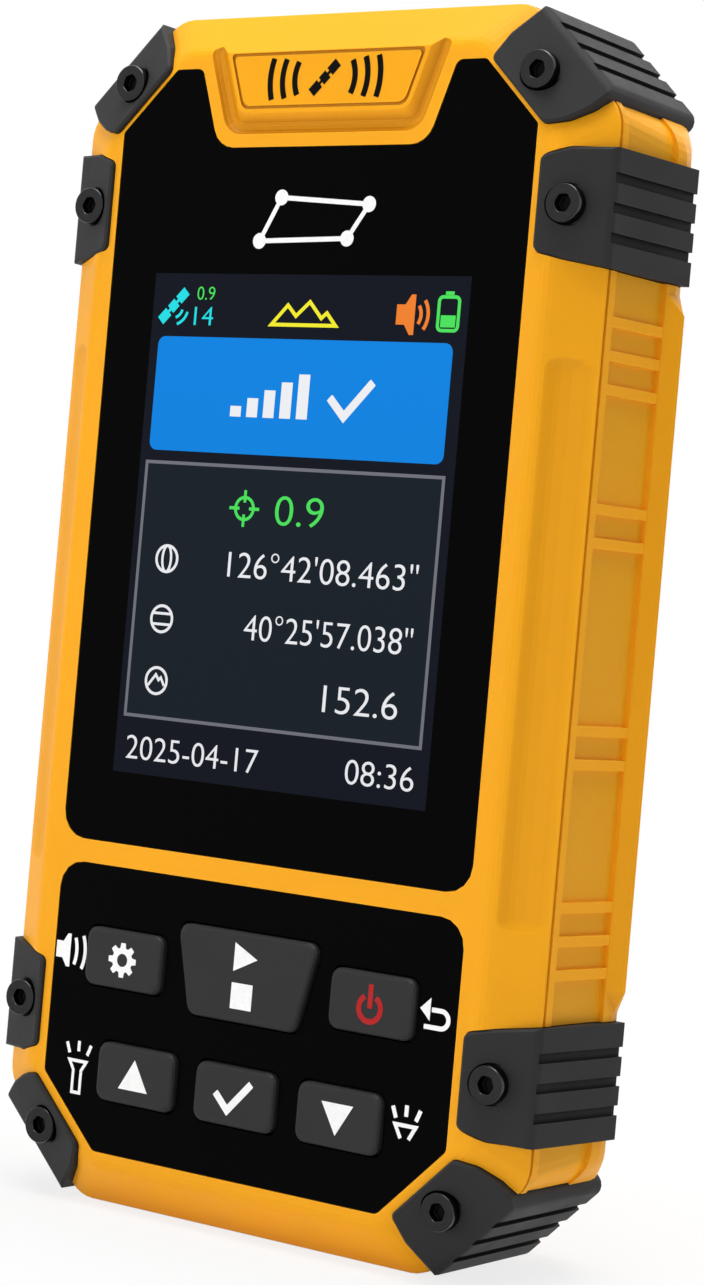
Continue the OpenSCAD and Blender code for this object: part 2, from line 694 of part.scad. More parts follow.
// A soft step from 0 to 1
function ease(t) = let (u = min(1, max(0, t))) u * u * (3 - 2 * u);

// The thumb scoop: deepest beside the soft wall at its inner edge, then running out towards the
// parting edge. Its rows lie at a distance e from an end, and its columns d from the inner edge
module thumb_scoop() {
  inner = half_w - facet_side + 0.2;
  half = side_guard_z - scoop_clear;
  out = facet_side + 0.2;
  lead = 0.05;
  steps = [for (i = [0 : 4]) scoop_soft * i / 4];
  function across(d) = ease(d / scoop_soft) * (1 - ease((d - scoop_soft) / (facet_side - scoop_soft)));
  function shift(e) = scoop_soft - sqrt(scoop_soft * scoop_soft - (scoop_soft - e) * (scoop_soft - e));
  function facet_y(x) = facet_d * (1 - (half_w - x) / facet_side);
  function section(e) = concat(
    [for (d = concat(steps, [scoop_soft + 1, scoop_soft + 2.2, out]))
      let (x = inner + d + shift(e) * (1 - d / out))
      [x, lead - facet_y(x) - (scoop_d + lead) * across(d) * ease(e / scoop_soft)]],
    [[inner + out, far], [inner + shift(e), far]]);
  rows = concat([for (e = steps) [e - half, e]], [for (i = [4 : -1 : 0]) [half - steps[i], steps[i]]]);
  rotate([90, 0, 0]) loft([for (row = rows) [row[0], section(row[1])]]);
}

module board_post() difference() {
  rod(post_r, web_back - eps, board_y);
  rod(board_screw_d / 2, web_back + 1, board_y + 1);
}

module mat_rails() for (z = [mat_top - 0.6, mat_bottom + 0.6])
  plate(rectangle(2 * mat_half_w, 1.2, [0, z]), web_back - eps, mat_y);

module front_shell() placed() color(yellow) {
  difference() {
    union() {
      difference() {
        front_body();
        boss_recess();
      }
      antenna_boss();
    }
    plate(rounded(inset(lens_points, -seat_gap), lens_radii), -far, lens_floor);
    plate(rounded(rectangle(window_w, window_h, [0, picture_z]), 0.8), -far, far);
    plate(rounded(inset(overlay_points, -seat_gap), overlay_radii), -far, overlay_t);
    for (k = key_points) plate(rounded(inset(k, -key_gap - key_well), key_round), -far, far);
    plate(cavity_outline(), web_back, far);
    guard_pockets();
    both_sides() thumb_scoop();
    screw_holes();
  }
  at_each_post() board_post();
  mat_rails();
}

// Middle frame

module band_ribs() both_sides() {
  root = 2;
  far_z = side_guard_z - rib_far;
  centres = concat([for (s = [-1, 1]) for (i = [-1 : 1]) s * far_z + i * rib_pitch],
                   [for (s = [-1, 1]) for (i = [-0.5, 0.5]) rib_near_up + s * rib_near + i * rib_pitch]);
  for (z = centres)
    bar([[side_at(facet_d) - root, facet_d], [side_at(facet_d) - rib_recess, facet_d],
         [side_at(band_end) - rib_recess, band_end], [side_at(band_end) - root, band_end]],
        z - rib_h / 2, z + rib_h / 2);
}

module gasket_loop(y0, y1, grow) difference() {
  plate(cavity_outline(gasket_in + gasket_w + grow), y0, y1);
  plate(cavity_outline(gasket_in - grow), y0 - eps, y1 + eps);
}

module cover_pocket() {
  z0 = -half_h - 1;
  z1 = -half_h + band_recess + cover_t + seat_gap;
  bar(rectangle(cover_len + 2 * seat_gap, cover_w + 2 * seat_gap, [0, port_y]), z0, z1);
}

module torch_hole() {
  at = [0, torch_y];
  upright(torch_d / 2 + seat_gap, cavity_half_h - 1, half_h + 1, at);
  upright(torch_d / 2 + torch_flange + seat_gap, half_h - band_recess - torch_flange_t, half_h + 1, at);
}

// The band's outline at depth y
function band_outline(y, grow = 0) =
  housing_outline(side_at(y) - band_recess + grow, half_h - band_recess + grow,
                  corner_face - band_recess / 2 + grow);

// The raised rim along the band's front
module band_rim() loft([for (y = [facet_d, facet_d + shadow_w + rim_d])
  [y, housing_outline(side_at(y) - rib_recess, half_h - rib_recess, corner_face - rib_recess)]]);

// The fine groove that sets the rim off from the front shell
module shadow_groove() difference() {
  plate(band_outline(facet_d, 3), facet_d - 1, facet_d + shadow_w);
  plate(band_outline(facet_d, -shadow_d), facet_d - 2, facet_d + shadow_w + 1);
}

module middle_frame() placed() color(yellow) difference() {
  union() {
    loft([for (y = [facet_d, band_end]) [y, band_outline(y)]]);
    band_rim();
    band_ribs();
  }
  shadow_groove();
  plate(cavity_outline(), -far, far);
  gasket_loop(-far, facet_d + gasket_t, rest_gap);
  gasket_loop(band_end - gasket_t, far, rest_gap);
  guard_pockets();
  screw_holes();
  bar(stadium(port_w + 2 * board_gap, port_t + 2 * board_gap, [0, port_y]), -half_h - 1, 1 - cavity_half_h);
  cover_pocket();
  torch_hole();
}

// Rear shell

rear_w = side_at(band_end + 1.6);

function rear_ring(y, side, end, corner) =
  [y, housing_outline(rear_w - side, half_h - end, corner_face - corner)];

// The turn into the back: depth, then how far the sides, the ends and the corners have drawn in
module rear_body() loft([
  rear_ring(band_end, rear_w - side_at(band_end), 0, 0),
  rear_ring(band_end + 1.6, 0, 0, 0),
  rear_ring(band_end + 3, 0.25, 0, 0),
  rear_ring(band_end + 4.2, 0.85, 0.1, 0),
  rear_ring(body_d - 4, 3.3, 1.6, 0.2),
  rear_ring(body_d - 1.5, 5.25, 3.4, 1.9),
  rear_ring(body_d - 0.5, 6.2, 4.3, 2.8),
  rear_ring(body_d, 7.4, 5.5, 4)]);

// The swollen side of the rear shell that fills the hand between the side guards
module hand_grip() {
  half = side_guard_z - grip_clear;
  function section(out) = [[rear_w - 4, band_end + 6.5], [rear_w - 1.7, band_end + 5.2],
    [rear_w - 0.45 + 0.7 * out, band_end + 3.4], [rear_w - 0.15 + 1.13 * out, band_end + 2],
    [side_at(band_end) - 0.05, band_end], [rear_w - 3, band_end]];
  rows = [[-half - grip_taper, 0], [-half, grip_out], [half, grip_out], [half + grip_taper, 0]];
  rotate([90, 0, 0]) loft([for (row = rows) [row[0], [for (p = section(row[1])) [p.x, -p.y]]]]);
}

// Slots that fill a circle over the speaker, the longest in the middle
module speaker_slots() for (i = [-3 : 3])
  plate(stadium(slot_len * sqrt(1 - i * i / 14) + slot_w, slot_w, [0, speaker_z + i * slot_pitch]),
        back_in - 1, body_d + 1);

module rear_shell() placed() color(yellow) difference() {
  union() {
    rear_body();
    both_sides() hand_grip();
  }
  loft([[band_end - 1, cavity_outline()],
        [back_in - 1, cavity_outline(-0.5)],
        [back_in, cavity_outline(-1.2)]]);
  guard_pockets();
  at_each_screw() rod(insert_d / 2, -far, band_end + insert_len + 1);
  speaker_slots();
}

// Seals and fasteners

module front_gasket() placed() color(rubber) gasket_loop(facet_d, facet_d + gasket_t, 0);
module rear_gasket() placed() color(rubber) gasket_loop(band_end - gasket_t, band_end, 0);

module guard_screws() placed() color("#3a3a3c") at_each_screw() difference() {
  union() {
    rod(screw_head_d / 2, -screw_lift, screw_under);
    rod(screw_d / 2, screw_under - eps, screw_end);
  }
  rotate([-90, 0, 0]) translate([0, 0, -screw_lift - 1])
    cylinder(d = screw_socket / cos(30), h = screw_socket_d + 1, $fn = 6);
}

module threaded_inserts() placed() color("#c9a24a") at_each_screw() difference() {
  start = band_end + 0.3;
  rod(insert_d / 2 - 0.03, start, start + insert_len);
  rod(screw_d / 2 + rest_gap, band_end, start + insert_len + 1);
}

// Screen

module screen_lens() placed() color(black) plate(rounded(lens_points, lens_radii), 0, lens_t);

function window_outline() = rounded(rectangle(window_w, window_h, [0, picture_z]), 0.8);

module lens_tape() placed() color("#2a2a2a") difference() {
  plate(rounded(inset(lens_points, 0.5), lens_radii), lens_t, lens_floor);
  plate(window_outline(), lens_t - eps, lens_floor + eps);
}

function panel_outline(grow = 0) =
  rectangle(panel_w + 2 * grow, panel_top - panel_bottom + 2 * grow, [0, (panel_top + panel_bottom) / 2]);

module lcd_gasket() placed() color("#1e1e1e") difference() {
  plate(panel_outline(-0.3), web_back, panel_y);
  plate(window_outline(), web_back - eps, panel_y + eps);
}

module lcd_panel() placed() color("#11161f") plate(panel_outline(), panel_y, backlight_y);

module backlight() placed() color("#e8e8ea") plate(panel_outline(), backlight_y, tray_y);

flex_half = 11;

module lcd_tray() placed() color("#b9bcc0") difference() {
  plate(panel_outline(seat_gap + tray_wall), panel_y + 0.5, board_y);
  plate(panel_outline(seat_gap), -far, tray_y);
  plate(rectangle(2 * flex_half + 4, 4, [0, panel_bottom]), -far, board_y - 0.3);
}

// The flat cable from the panel's lower edge, round the tray to the board
module lcd_flex() placed() color("#b8741a") {
  thick = 0.25;
  start = backlight_y - 0.5;
  foot = panel_bottom - seat_gap - tray_wall - 2 * thick;
  beam([[start, panel_bottom], [start, foot], [board_y, foot], [board_y, foot + thick],
        [start + thick, foot + thick], [start + thick, panel_bottom]], flex_half);
}

// Keys

module keypad_overlay() placed() color(black) difference() {
  plate(rounded(overlay_points, overlay_radii), 0, overlay_t);
  for (k = key_points) plate(rounded(inset(k, -key_gap - 0.1), key_round), -1, overlay_t + 1);
}

module key(i) placed() color("#3b3b3c") {
  k = key_points[i];
  loft([[-key_proud, rounded(inset(k, key_bevel), key_round)],
        [-key_proud + key_bevel * 0.3, rounded(inset(k, key_bevel * 0.4), key_round)],
        [-key_proud + key_bevel, rounded(k, key_round)],
        [key_back, rounded(k, key_round)]]);
  plate(rounded(inset(k, -key_flange), key_round), key_back - eps, key_back + key_flange_t);
  rod(key_stem_r, key_back, stem_end, key_centres[i]);
}

module settings_key() key(0);
module start_stop_key() key(1);
module power_key() key(2);
module up_key() key(3);
module enter_key() key(4);
module down_key() key(5);

module keypad_mat() placed() color("#55585c") difference() {
  plate(rectangle(2 * mat_half_w, mat_top - mat_bottom, [0, (mat_top + mat_bottom) / 2]),
        mat_y, mat_y + mat_t);
  for (c = key_centres) rod(key_stem_r + 2 * key_gap, mat_y - 1, mat_y + mat_t + 1, c);
}

module key_switches() placed() for (c = key_centres) color("#202020") {
  plate(rectangle(switch_size, switch_size, c), board_y - switch_t, board_y);
  rod(1, switch_top, board_y - switch_t + eps, c);
}

// Board and the works

module main_board() placed() color("#1f6b3a") difference() {
  plate(rounded(cut_corner(board_half_w, board_half_h, cavity_corner - board_gap), 1), board_y, board_back);
  at_each_post() rod(board_screw_d / 2 + seat_gap, board_y - 1, board_back + 1);
}

module board_screws() placed() color("#b4b6b8") at_each_post() {
  rod(board_screw_d * 0.9, board_back, board_back + board_screw_head);
  rod(board_screw_d / 2 - rest_gap, board_y - board_screw_len, board_back + eps);
}

module chip(w, h, at) plate(rectangle(w, h, chip_off * at), board_back, board_back + chip_t);

module processor_chips() placed() color("#1a1a1a") {
  chip(chip_size, chip_size, [-1, -1]);
  chip(chip_size * 3 / 4, chip_size / 2, [1, -1]);
  chip(chip_size * 2 / 3, chip_size * 2 / 3, [1, 1]);
}

// A thin shield can, open towards the board
module gnss_module() placed() color("#c4c6c8") {
  can = rectangle(can_w, can_h, [0, board_half_h - can_end]);
  difference() {
    plate(can, board_back, board_back + can_t);
    plate(inset(can, can_wall), board_back - 1, board_back + can_t - can_wall);
  }
}

module gnss_antenna() placed() color("#d9cdb4")
  plate(rectangle(antenna_size, antenna_size, [0, antenna_z]), web_back + 0.3, board_y);

// A round speaker: rim, basket and magnet, facing the slots in the back
module speaker() placed() color("#303236") {
  at = [0, speaker_z];
  face = back_in - pad_t;
  rim = 1.6;
  magnet = 1;
  rod(speaker_d / 2, face - rim, face, at);
  rod(speaker_d / 2 - 2, face - speaker_t + magnet, face - rim + eps, at);
  rod(speaker_d / 4, face - speaker_t, face - speaker_t + magnet + eps, at);
}

module speaker_gasket() placed() color(rubber) difference() {
  rod(speaker_d / 2, back_in - pad_t, back_in, [0, speaker_z]);
  rod(speaker_d / 2 - 2.5, back_in - pad_t - 1, back_in + 1, [0, speaker_z]);
}

module battery() placed() color("#8f9aa6")
  plate(rounded(rectangle(battery_w, battery_h, [0, battery_z]), 1.5),
        back_in - pad_t - battery_t, back_in - pad_t);

module battery_pad() placed() color(rubber)
  plate(rectangle(battery_w - 6, battery_h - 6, [0, battery_z]), back_in - pad_t, back_in);

module battery_socket() placed() color("#f2efe6") {
  block = rectangle(socket_w, socket_h, [socket_in - board_half_w, battery_foot - socket_in]);
  difference() {
    plate(block, board_back, board_back + socket_t);
    plate(inset(block, socket_wall), board_back + socket_wall, board_back + socket_t + 1);
  }
}

module usb_port() placed() color("#bfc1c4") {
  at = [0, port_y];
  wall = 0.35;
  end = port_mouth + port_len;
  difference() {
    bar(stadium(port_w, port_t, at), port_mouth, end);
    bar(stadium(port_w - 2 * wall, port_t - 2 * wall, at), port_mouth - 1, end - 1);
  }
  bar(rectangle(port_w - 2.5, 0.7, at), port_mouth + 0.8, end - 1 + eps);
}

// The rubber cover lies flush with the band and turns on its rounded end
module usb_cover() placed() color(rubber) {
  r = cover_t / 2;
  z0 = band_recess - half_h;
  translate([cover_hinge_x, port_y - cover_w / 2, z0 + r]) rotate([-90, 0, 0]) cylinder(r = r, h = cover_w);
  bar(rectangle(cover_len - r, cover_w, [-r / 2, port_y]), z0, z0 + cover_t);
}

module torch_led() placed() color("#f4f2df") {
  foot = cavity_half_h - 6;
  neck = cavity_half_h - 2;
  upright(led_r, foot, neck, [0, torch_y]);
  translate([0, torch_y, neck]) sphere(led_r);
}

module torch_lens() placed() color("#dfe6ea") {
  at = [0, torch_y];
  face = half_h - band_recess;
  upright(torch_d / 2, cavity_half_h, face, at);
  upright(torch_d / 2 + torch_flange, face - torch_flange_t + rest_gap, face, at);
}

front_shell();
middle_frame();
rear_shell();
front_gasket();
rear_gasket();
upper_left_corner_guard();
upper_right_corner_guard();
lower_left_corner_guard();
lower_right_corner_guard();
upper_left_side_guard();
upper_right_side_guard();
lower_left_side_guard();
lower_right_side_guard();
guard_screws();
threaded_inserts();
screen_lens();
lens_tape();
lcd_gasket();
lcd_panel();
backlight();
lcd_tray();
lcd_flex();
keypad_overlay();
settings_key();
start_stop_key();
power_key();
up_key();
enter_key();
down_key();
keypad_mat();
key_switches();
main_board();
board_screws();
processor_chips();
gnss_module();
gnss_antenna();
speaker();
speaker_gasket();
battery();
battery_pad();
battery_socket();
usb_port();
usb_cover();
torch_led();
torch_lens();
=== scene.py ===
import math

import bmesh
import bpy
from bpy.props import FloatProperty, FloatVectorProperty, PointerProperty
from mathutils import Matrix, Vector


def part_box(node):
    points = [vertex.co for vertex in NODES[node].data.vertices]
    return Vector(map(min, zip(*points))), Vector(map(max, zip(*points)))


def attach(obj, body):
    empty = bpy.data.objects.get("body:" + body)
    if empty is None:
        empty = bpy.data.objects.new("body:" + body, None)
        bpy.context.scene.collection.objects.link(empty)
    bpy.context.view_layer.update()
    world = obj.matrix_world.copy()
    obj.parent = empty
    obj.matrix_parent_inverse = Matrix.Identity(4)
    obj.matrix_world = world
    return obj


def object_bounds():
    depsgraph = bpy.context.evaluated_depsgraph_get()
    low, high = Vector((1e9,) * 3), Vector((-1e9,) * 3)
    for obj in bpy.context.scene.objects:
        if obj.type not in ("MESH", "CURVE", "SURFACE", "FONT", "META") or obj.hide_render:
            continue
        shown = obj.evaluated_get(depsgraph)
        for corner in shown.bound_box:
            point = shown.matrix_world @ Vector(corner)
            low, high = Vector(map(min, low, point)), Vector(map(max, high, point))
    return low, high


bl_info = {
    "name": "Land area meter",
    "version": (1, 0, 0),
    "blender": (4, 5, 0),
    "location": "3D View > Sidebar > Meter",
    "description": "Dresses the solids of a land area meter with finishes, signs and a stage",
    "category": "Object",
}

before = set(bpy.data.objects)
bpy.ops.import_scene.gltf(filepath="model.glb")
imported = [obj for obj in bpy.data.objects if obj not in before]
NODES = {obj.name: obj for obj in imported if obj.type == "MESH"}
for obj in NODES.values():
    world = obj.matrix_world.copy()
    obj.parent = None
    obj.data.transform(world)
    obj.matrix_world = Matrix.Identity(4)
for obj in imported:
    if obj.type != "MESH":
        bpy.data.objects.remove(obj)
CAD_BOX = [list(corner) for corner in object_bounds()]

MM = 0.001
BODY = "housing"
KEYS = ("settings_key", "start_stop_key", "power_key", "up_key", "enter_key", "down_key")
GUARDS = [name for name in NODES if name.endswith("_guard")]

# Front planes, the height of the housing's middle, and the thickness of print
LENS_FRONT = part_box("screen_lens")[0].y
KEY_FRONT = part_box("enter_key")[0].y
BOSS_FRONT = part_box("front_shell")[0].y
SCREW_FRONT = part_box("guard_screws")[0].y
MID_Z = (CAD_BOX[0][2] + CAD_BOX[1][2]) / 2
INK_T = 0.03 * MM

# Lean of the band's long sides, and where its panels begin and end behind the ribs' faces
SIDE_SLOPE = math.tan(math.radians(6.5))
PANEL_BEGINS = (0.15 * MM, 0.4 * MM)
PANEL_ENDS = (0.75 * MM, 0.65 * MM)

# Slant of the front shell's long sides: its turn, and its distance from the middle
FLANK_TURN = math.atan2(3.9, 5.5)
FLANK_REACH = 28.066 * MM

# The thumb scoops: half their length, which ends short of the side guards, their share of shade,
# and where it begins and ends below the slant
SCOOP_GAP = 4 * MM
SCOOP_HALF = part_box("upper_right_side_guard")[0].z - MID_Z - SCOOP_GAP
SCOOP_SHADE = 0.24
SCOOP_BEGINS = (0.005 * MM, 0.1 * MM)
SCOOP_ENDS = (0.9 * MM, 0.7 * MM)

# The walls of the key openings: from and to behind the overlay's front, and in from its outline
WELL_DEEP = (0.15 * MM, 4.0 * MM)
WELL_INSET = 0.6 * MM
WELL_BLACK = (0.002, 0.002, 0.002)

# The screws' blackened steel: its two greys, the black of the painted shade on the sockets, the
# heads' sides and a ring round their faces, and the depths over which a head's flat face and its
# rim end
SCREW_DARK = (0.021, 0.021, 0.022)
SCREW_PALE = (0.033, 0.033, 0.034)
SOCKET_SHADE = (0.0015, 0.0015, 0.0015)
FACE_ENDS = (0.1 * MM, 0.02 * MM)
RIM_ENDS = (0.6 * MM, 0.4 * MM)

# Least turn of the normal and most, between which an edge counts as rubbed on moulded pieces and as
# painted shade on the screws, as cosines
RUB_TURN = (0.98, 0.7)

# Scales of the finishes' noise, in waves a metre, and the span that most of a noise lies in
DRIFT_SCALE = 45.0
WIPE_SCALE = 120.0
POLISH_SCALE = 160.0
RUB_SCALE = 700.0
GLOSS_SCALE = 900.0
STREAK_SCALE = 1500.0
MOTTLE_SCALE = 1800.0
HAZE_SCALE = 2600.0
SPREAD = (0.3, 0.7)

# Darkest and palest share of a moulded plastic's colour
TONES = (0.965, 1.025)


# Sizes and colours a user would change


def colour(name, description, default):
    return FloatVectorProperty(
        name=name,
        description=description,
        subtype="COLOR",
        size=3,
        min=0.0,
        max=1.0,
        default=default,
    )


def length(name, description, default_mm):
    return FloatProperty(
        name=name, description=description, unit="LENGTH", min=0.0, default=default_mm * MM
    )


def angle(name, description, degrees):
    return FloatProperty(
        name=name, description=description, subtype="ANGLE", default=math.radians(degrees)
    )


def power(name, description, watts):
    return FloatProperty(
        name=name, description=description, subtype="POWER", min=0.0, default=watts
    )


class METER_PG_finish(bpy.types.PropertyGroup):
    """Colours and surface sizes of the housing, guards, keys and print."""

    shell: colour("Shell", "Plastic of the two shells", (0.93, 0.395, 0.008))
    shell_edge: colour("Shell edges", "Plastic where edges are rubbed bright", (1.0, 0.52, 0.05))
    # Painted shade: the shells' plastic darkened in recesses and in the thumb scoops
    shell_shade: colour("Shell recesses", "Plastic in recesses", (0.6, 0.235, 0.004))
    # Painted light: the band is the shells' plastic made lighter, to make up for the light its
    # sides miss
    band: colour("Band", "Plastic of the ribbed band", (1.0, 0.425, 0.008))
    # Painted shade: the band's plastic darkened on the panels between the ribs
    band_panel: colour("Band panels", "Shaded plastic between the ribs", (0.86, 0.385, 0.01))
    guard: colour("Guards", "Plastic of the bumper guards", (0.0305, 0.0305, 0.031))
    guard_edge: colour("Guard edges", "Guards where edges are rubbed bright", (0.05, 0.05, 0.05))
    # Painted shade: the guards' plastic darkened in grooves and holes
    guard_shade: colour("Guard recesses", "Guards in grooves and holes", (0.003, 0.003, 0.0033))
    key: colour("Keys", "Plastic of the keys", (0.0225, 0.0225, 0.0235))
    lens: colour("Lens border", "Print under lens and key overlay", (0.0012, 0.0012, 0.0013))
    lens_print: colour("Lens print", "White print on the lens", (0.96, 0.96, 0.96))
    boss_print: colour("Boss print", "Black print on the boss", (0.004, 0.0035, 0.003))
    key_print: colour("Key print", "White print on the overlay and keys", (0.97, 0.97, 0.97))
    power_print: colour("Power print", "Red print on the power key", (0.45, 0.011, 0.012))
    rubber: colour("Rubber", "Port cover and seals", (0.016, 0.016, 0.017))
    rubber_edge: colour("Rubber edges", "Rubber where edges are rubbed", (0.04, 0.04, 0.04))
    grain: length("Grain", "Size of the moulded grain", 0.42)
    guard_round: length("Guard edge", "Rounding of the guards' edges", 0.15)
    screw_round: length("Screw edge", "Rounding of the screw heads' edges", 0.22)
    fine_round: length("Fine edge", "Rounding of small pieces' edges", 0.15)


class METER_PG_picture(bpy.types.PropertyGroup):
    """Colours of the picture on the screen."""

    ground: colour("Ground", "Picture's background", (0.006, 0.008, 0.0147))
    field: colour("Field", "Ground inside the framed field", (0.0092, 0.0147, 0.0224))
    panel: colour("Panel", "Panel at the picture's top", (0.004, 0.227, 0.75))
    line: colour("Line", "Frame of the field", (0.17, 0.17, 0.2))
    white: colour("White", "Main numbers", (0.86, 0.87, 0.9))
    green: colour("Green", "Precision number and battery", (0.075, 0.75, 0.11))
    cyan: colour("Cyan", "Satellite sign and number", (0.02, 0.72, 0.78))
    yellow: colour("Yellow", "Terrain sign", (0.9, 0.83, 0.03))
    orange: colour("Orange", "Sound sign", (0.87, 0.22, 0.03))


class METER_PG_stage(bpy.types.PropertyGroup):
    """Camera and light."""

    camera_x: length("Camera X", "Camera's place to the right of the meter", 198.0)
    camera_y: length("Camera Y", "Camera's place in front of the meter", 285.4)
    camera_z: length("Camera Z", "Camera's height", 70.76)
    turn: angle("Turn", "Camera's turn towards the meter", 34.547)
    roll: angle("Roll", "Camera's roll", 5.0)
    lens: FloatProperty(
        name="Lens", description="Camera's focal length", unit="CAMERA", min=1.0, default=84.81
    )
    top_power: power("Top light", "Softbox overhead", 7.2)
    front_power: power("Front light", "Softbox in front", 0.72)
    fill_power: power("Fill light", "Softbox at front left", 2.7)
    back_power: power("Back light", "Softbox behind", 1.5)
    sky: FloatProperty(
        name="Sky",
        description="Even light from all round",
        subtype="FACTOR",
        min=0.0,
        max=1.0,
        default=0.25,
    )


# Node trees


FLOAT = "NodeSocketFloat"
COLOUR = "NodeSocketColor"
WHITE = (1.0, 1.0, 1.0, 1.0)


class Tree:
    """Adds nodes to a node tree and feeds their sockets."""

    def __init__(self, tree):
        self.tree = tree

    def find(self, kind):
        """The node of a kind that the tree came with."""
        return next(node for node in self.tree.nodes if node.type == kind)

    def feed(self, socket, value):
        """Links a socket, or sets its value; a colour may come without its alpha."""
        if isinstance(value, bpy.types.NodeSocket):
            self.tree.links.new(value, socket)
        elif isinstance(value, (int, float)) or len(value) == len(socket.default_value):
            socket.default_value = value
        else:
            socket.default_value = (*value, 1.0)

    def add(self, kind, inputs=(), **settings):
        node = self.tree.nodes.new(kind)
        for name, value in settings.items():
            setattr(node, name, value)
        for name, value in dict(inputs).items():
            self.feed(node.inputs[name], value)
        return node

    def math(self, operation, a, b=0.0, c=0.0, clamp=False):
        sockets = {0: a, 1: b, 2: c}
        return self.add("ShaderNodeMath", sockets, operation=operation, use_clamp=clamp).outputs[0]

    def remap(self, value, low, high, to_low=0.0, to_high=1.0):
        sockets = {"Value": value, "From Min": low, "From Max": high}
        sockets.update({"To Min": to_low, "To Max": to_high})
        return self.add("ShaderNodeMapRange", sockets).outputs[0]

    def ramps(self, *spans):
        """A product of ramps from 0 to 1, each a value with its start and end."""
        product = self.remap(*spans[0])
        for span in spans[1:]:
            product = self.math("MULTIPLY", product, self.remap(*span))
        return product

    def mix(self, factor, a, b, blend="MIX"):
        """A mix of two colours: a colour mix has them on its sockets 6 and 7, and puts out on 2."""
        sockets = {0: factor, 6: a, 7: b}
        return self.add("ShaderNodeMix", sockets, data_type="RGBA", blend_type=blend).outputs[2]

    def noise(self, vector, scale, detail=2.0, roughness=0.5):
        sockets = {"Vector": vector, "Scale": scale, "Detail": detail, "Roughness": roughness}
        return self.add("ShaderNodeTexNoise", sockets).outputs[0]

    def place(self):
        return self.add("ShaderNodeTexCoord").outputs["Object"]

    def spot(self):
        """The place's X, Y and Z."""
        return self.add("ShaderNodeSeparateXYZ", {0: self.place()}).outputs


def new_group(name, inputs, outputs):
    """A shader group with named sockets: each input a name, a socket kind and a default."""
    group = bpy.data.node_groups.new(name, "ShaderNodeTree")
    for socket_name, kind, default in inputs:
        socket = group.interface.new_socket(name=socket_name, in_out="INPUT", socket_type=kind)
        socket.default_value = default
    for socket_name, kind in outputs:
        group.interface.new_socket(name=socket_name, in_out="OUTPUT", socket_type=kind)
    tree = Tree(group)
    return group, tree, tree.add("NodeGroupInput").outputs, tree.add("NodeGroupOutput").inputs


def use_group(tree, name, build, **sockets):
    """Places the group of that name, which is built the first time it is asked for."""
    group = bpy.data.node_groups.get(name) or build(name)
    return tree.add("ShaderNodeGroup", sockets, node_tree=group).outputs


def build_grain(name):
    """Moulded grain: fine pits and specks, a tone that drifts over the surface, uneven polish."""
    group, tree, given, out = new_group(
        name,
        [("Fineness", FLOAT, 2400.0)],
        [("Height", FLOAT), ("Tone", FLOAT), ("Polish", FLOAT)],
    )
    place = tree.place()
    pits = tree.add("ShaderNodeTexVoronoi", {"Vector": place, "Scale": given["Fineness"]})
    specks = tree.noise(place, given["Fineness"], 3.0, 0.65)
    halves = [tree.math("MULTIPLY", part, 0.5) for part in (pits.outputs["Distance"], specks)]
    tree.feed(out["Height"], tree.math("ADD", *halves))
    tree.feed(out["Tone"], tree.remap(tree.noise(place, DRIFT_SCALE, 3.0), 0.25, 0.75))
    tree.feed(out["Polish"], tree.remap(tree.noise(place, POLISH_SCALE, 4.0, 0.6), *SPREAD))
    return group


def build_edge_rub_and_shade(name):
    """Where edges turn: the turn of a rounded normal, broken up by noise; moulded pieces are rubbed
    bright there, and the screws get painted shade.
    """
    group, tree, given, out = new_group(
        name, [("Width", FLOAT, 0.4 * MM), ("Amount", FLOAT, 0.5)], [("Mask", FLOAT)]
    )
    rounded = tree.add("ShaderNodeBevel", {"Radius": given["Width"]}, samples=4).outputs[0]
    plain = tree.add("ShaderNodeNewGeometry").outputs["True Normal"]
    cosine = tree.add("ShaderNodeVectorMath", {0: rounded, 1: plain}, operation="DOT_PRODUCT")
    turn = tree.remap(cosine.outputs["Value"], *RUB_TURN)
    broken = tree.remap(tree.noise(tree.place(), RUB_SCALE, 3.0, 0.6), 0.35, 0.7, 0.35, 1.0)
    rubbed = tree.math("MULTIPLY", turn, broken)
    tree.feed(out["Mask"], tree.math("MULTIPLY", rubbed, given["Amount"], clamp=True))
    return group


def build_recess(name):
    """Where a surface lies in a recess of its own piece, for painted shade: little open sky within
    a short reach.
    """
    group, tree, given, out = new_group(
        name,
        [("Reach", FLOAT, 2.5 * MM), ("Open", FLOAT, 0.97), ("Closed", FLOAT, 0.76)],
        [("Mask", FLOAT)],
    )
    sky = tree.add(
        "ShaderNodeAmbientOcclusion", {"Distance": given["Reach"]}, samples=8, only_local=True
    )
    tree.feed(out["Mask"], tree.remap(sky.outputs["AO"], given["Open"], given["Closed"]))
    return group


def build_pixels(name):
    """The grid of a screen's pixels, with a slow fall of brightness towards its foot."""
    group, tree, given, out = new_group(
        name, [("Colour", COLOUR, WHITE), ("Pitch", FLOAT, 0.18 * MM)], [("Colour", COLOUR)]
    )
    spot = tree.spot()
    cells = [tree.math("DIVIDE", spot[axis], given["Pitch"]) for axis in "XZ"]
    inward = tree.math("MINIMUM", *[tree.math("PINGPONG", cell, 0.5) for cell in cells])
    grid = tree.remap(inward, 0.0, 0.12, 0.93, 1.0)
    foot, top = MID_Z - 20 * MM, MID_Z + 40 * MM
    fall = tree.remap(spot["Z"], foot, top, 0.94, 1.03)
    dimmed = tree.mix(1.0, given["Colour"], tree.math("MULTIPLY", grid, fall), "MULTIPLY")
    tree.feed(out["Colour"], dimmed)
    return group


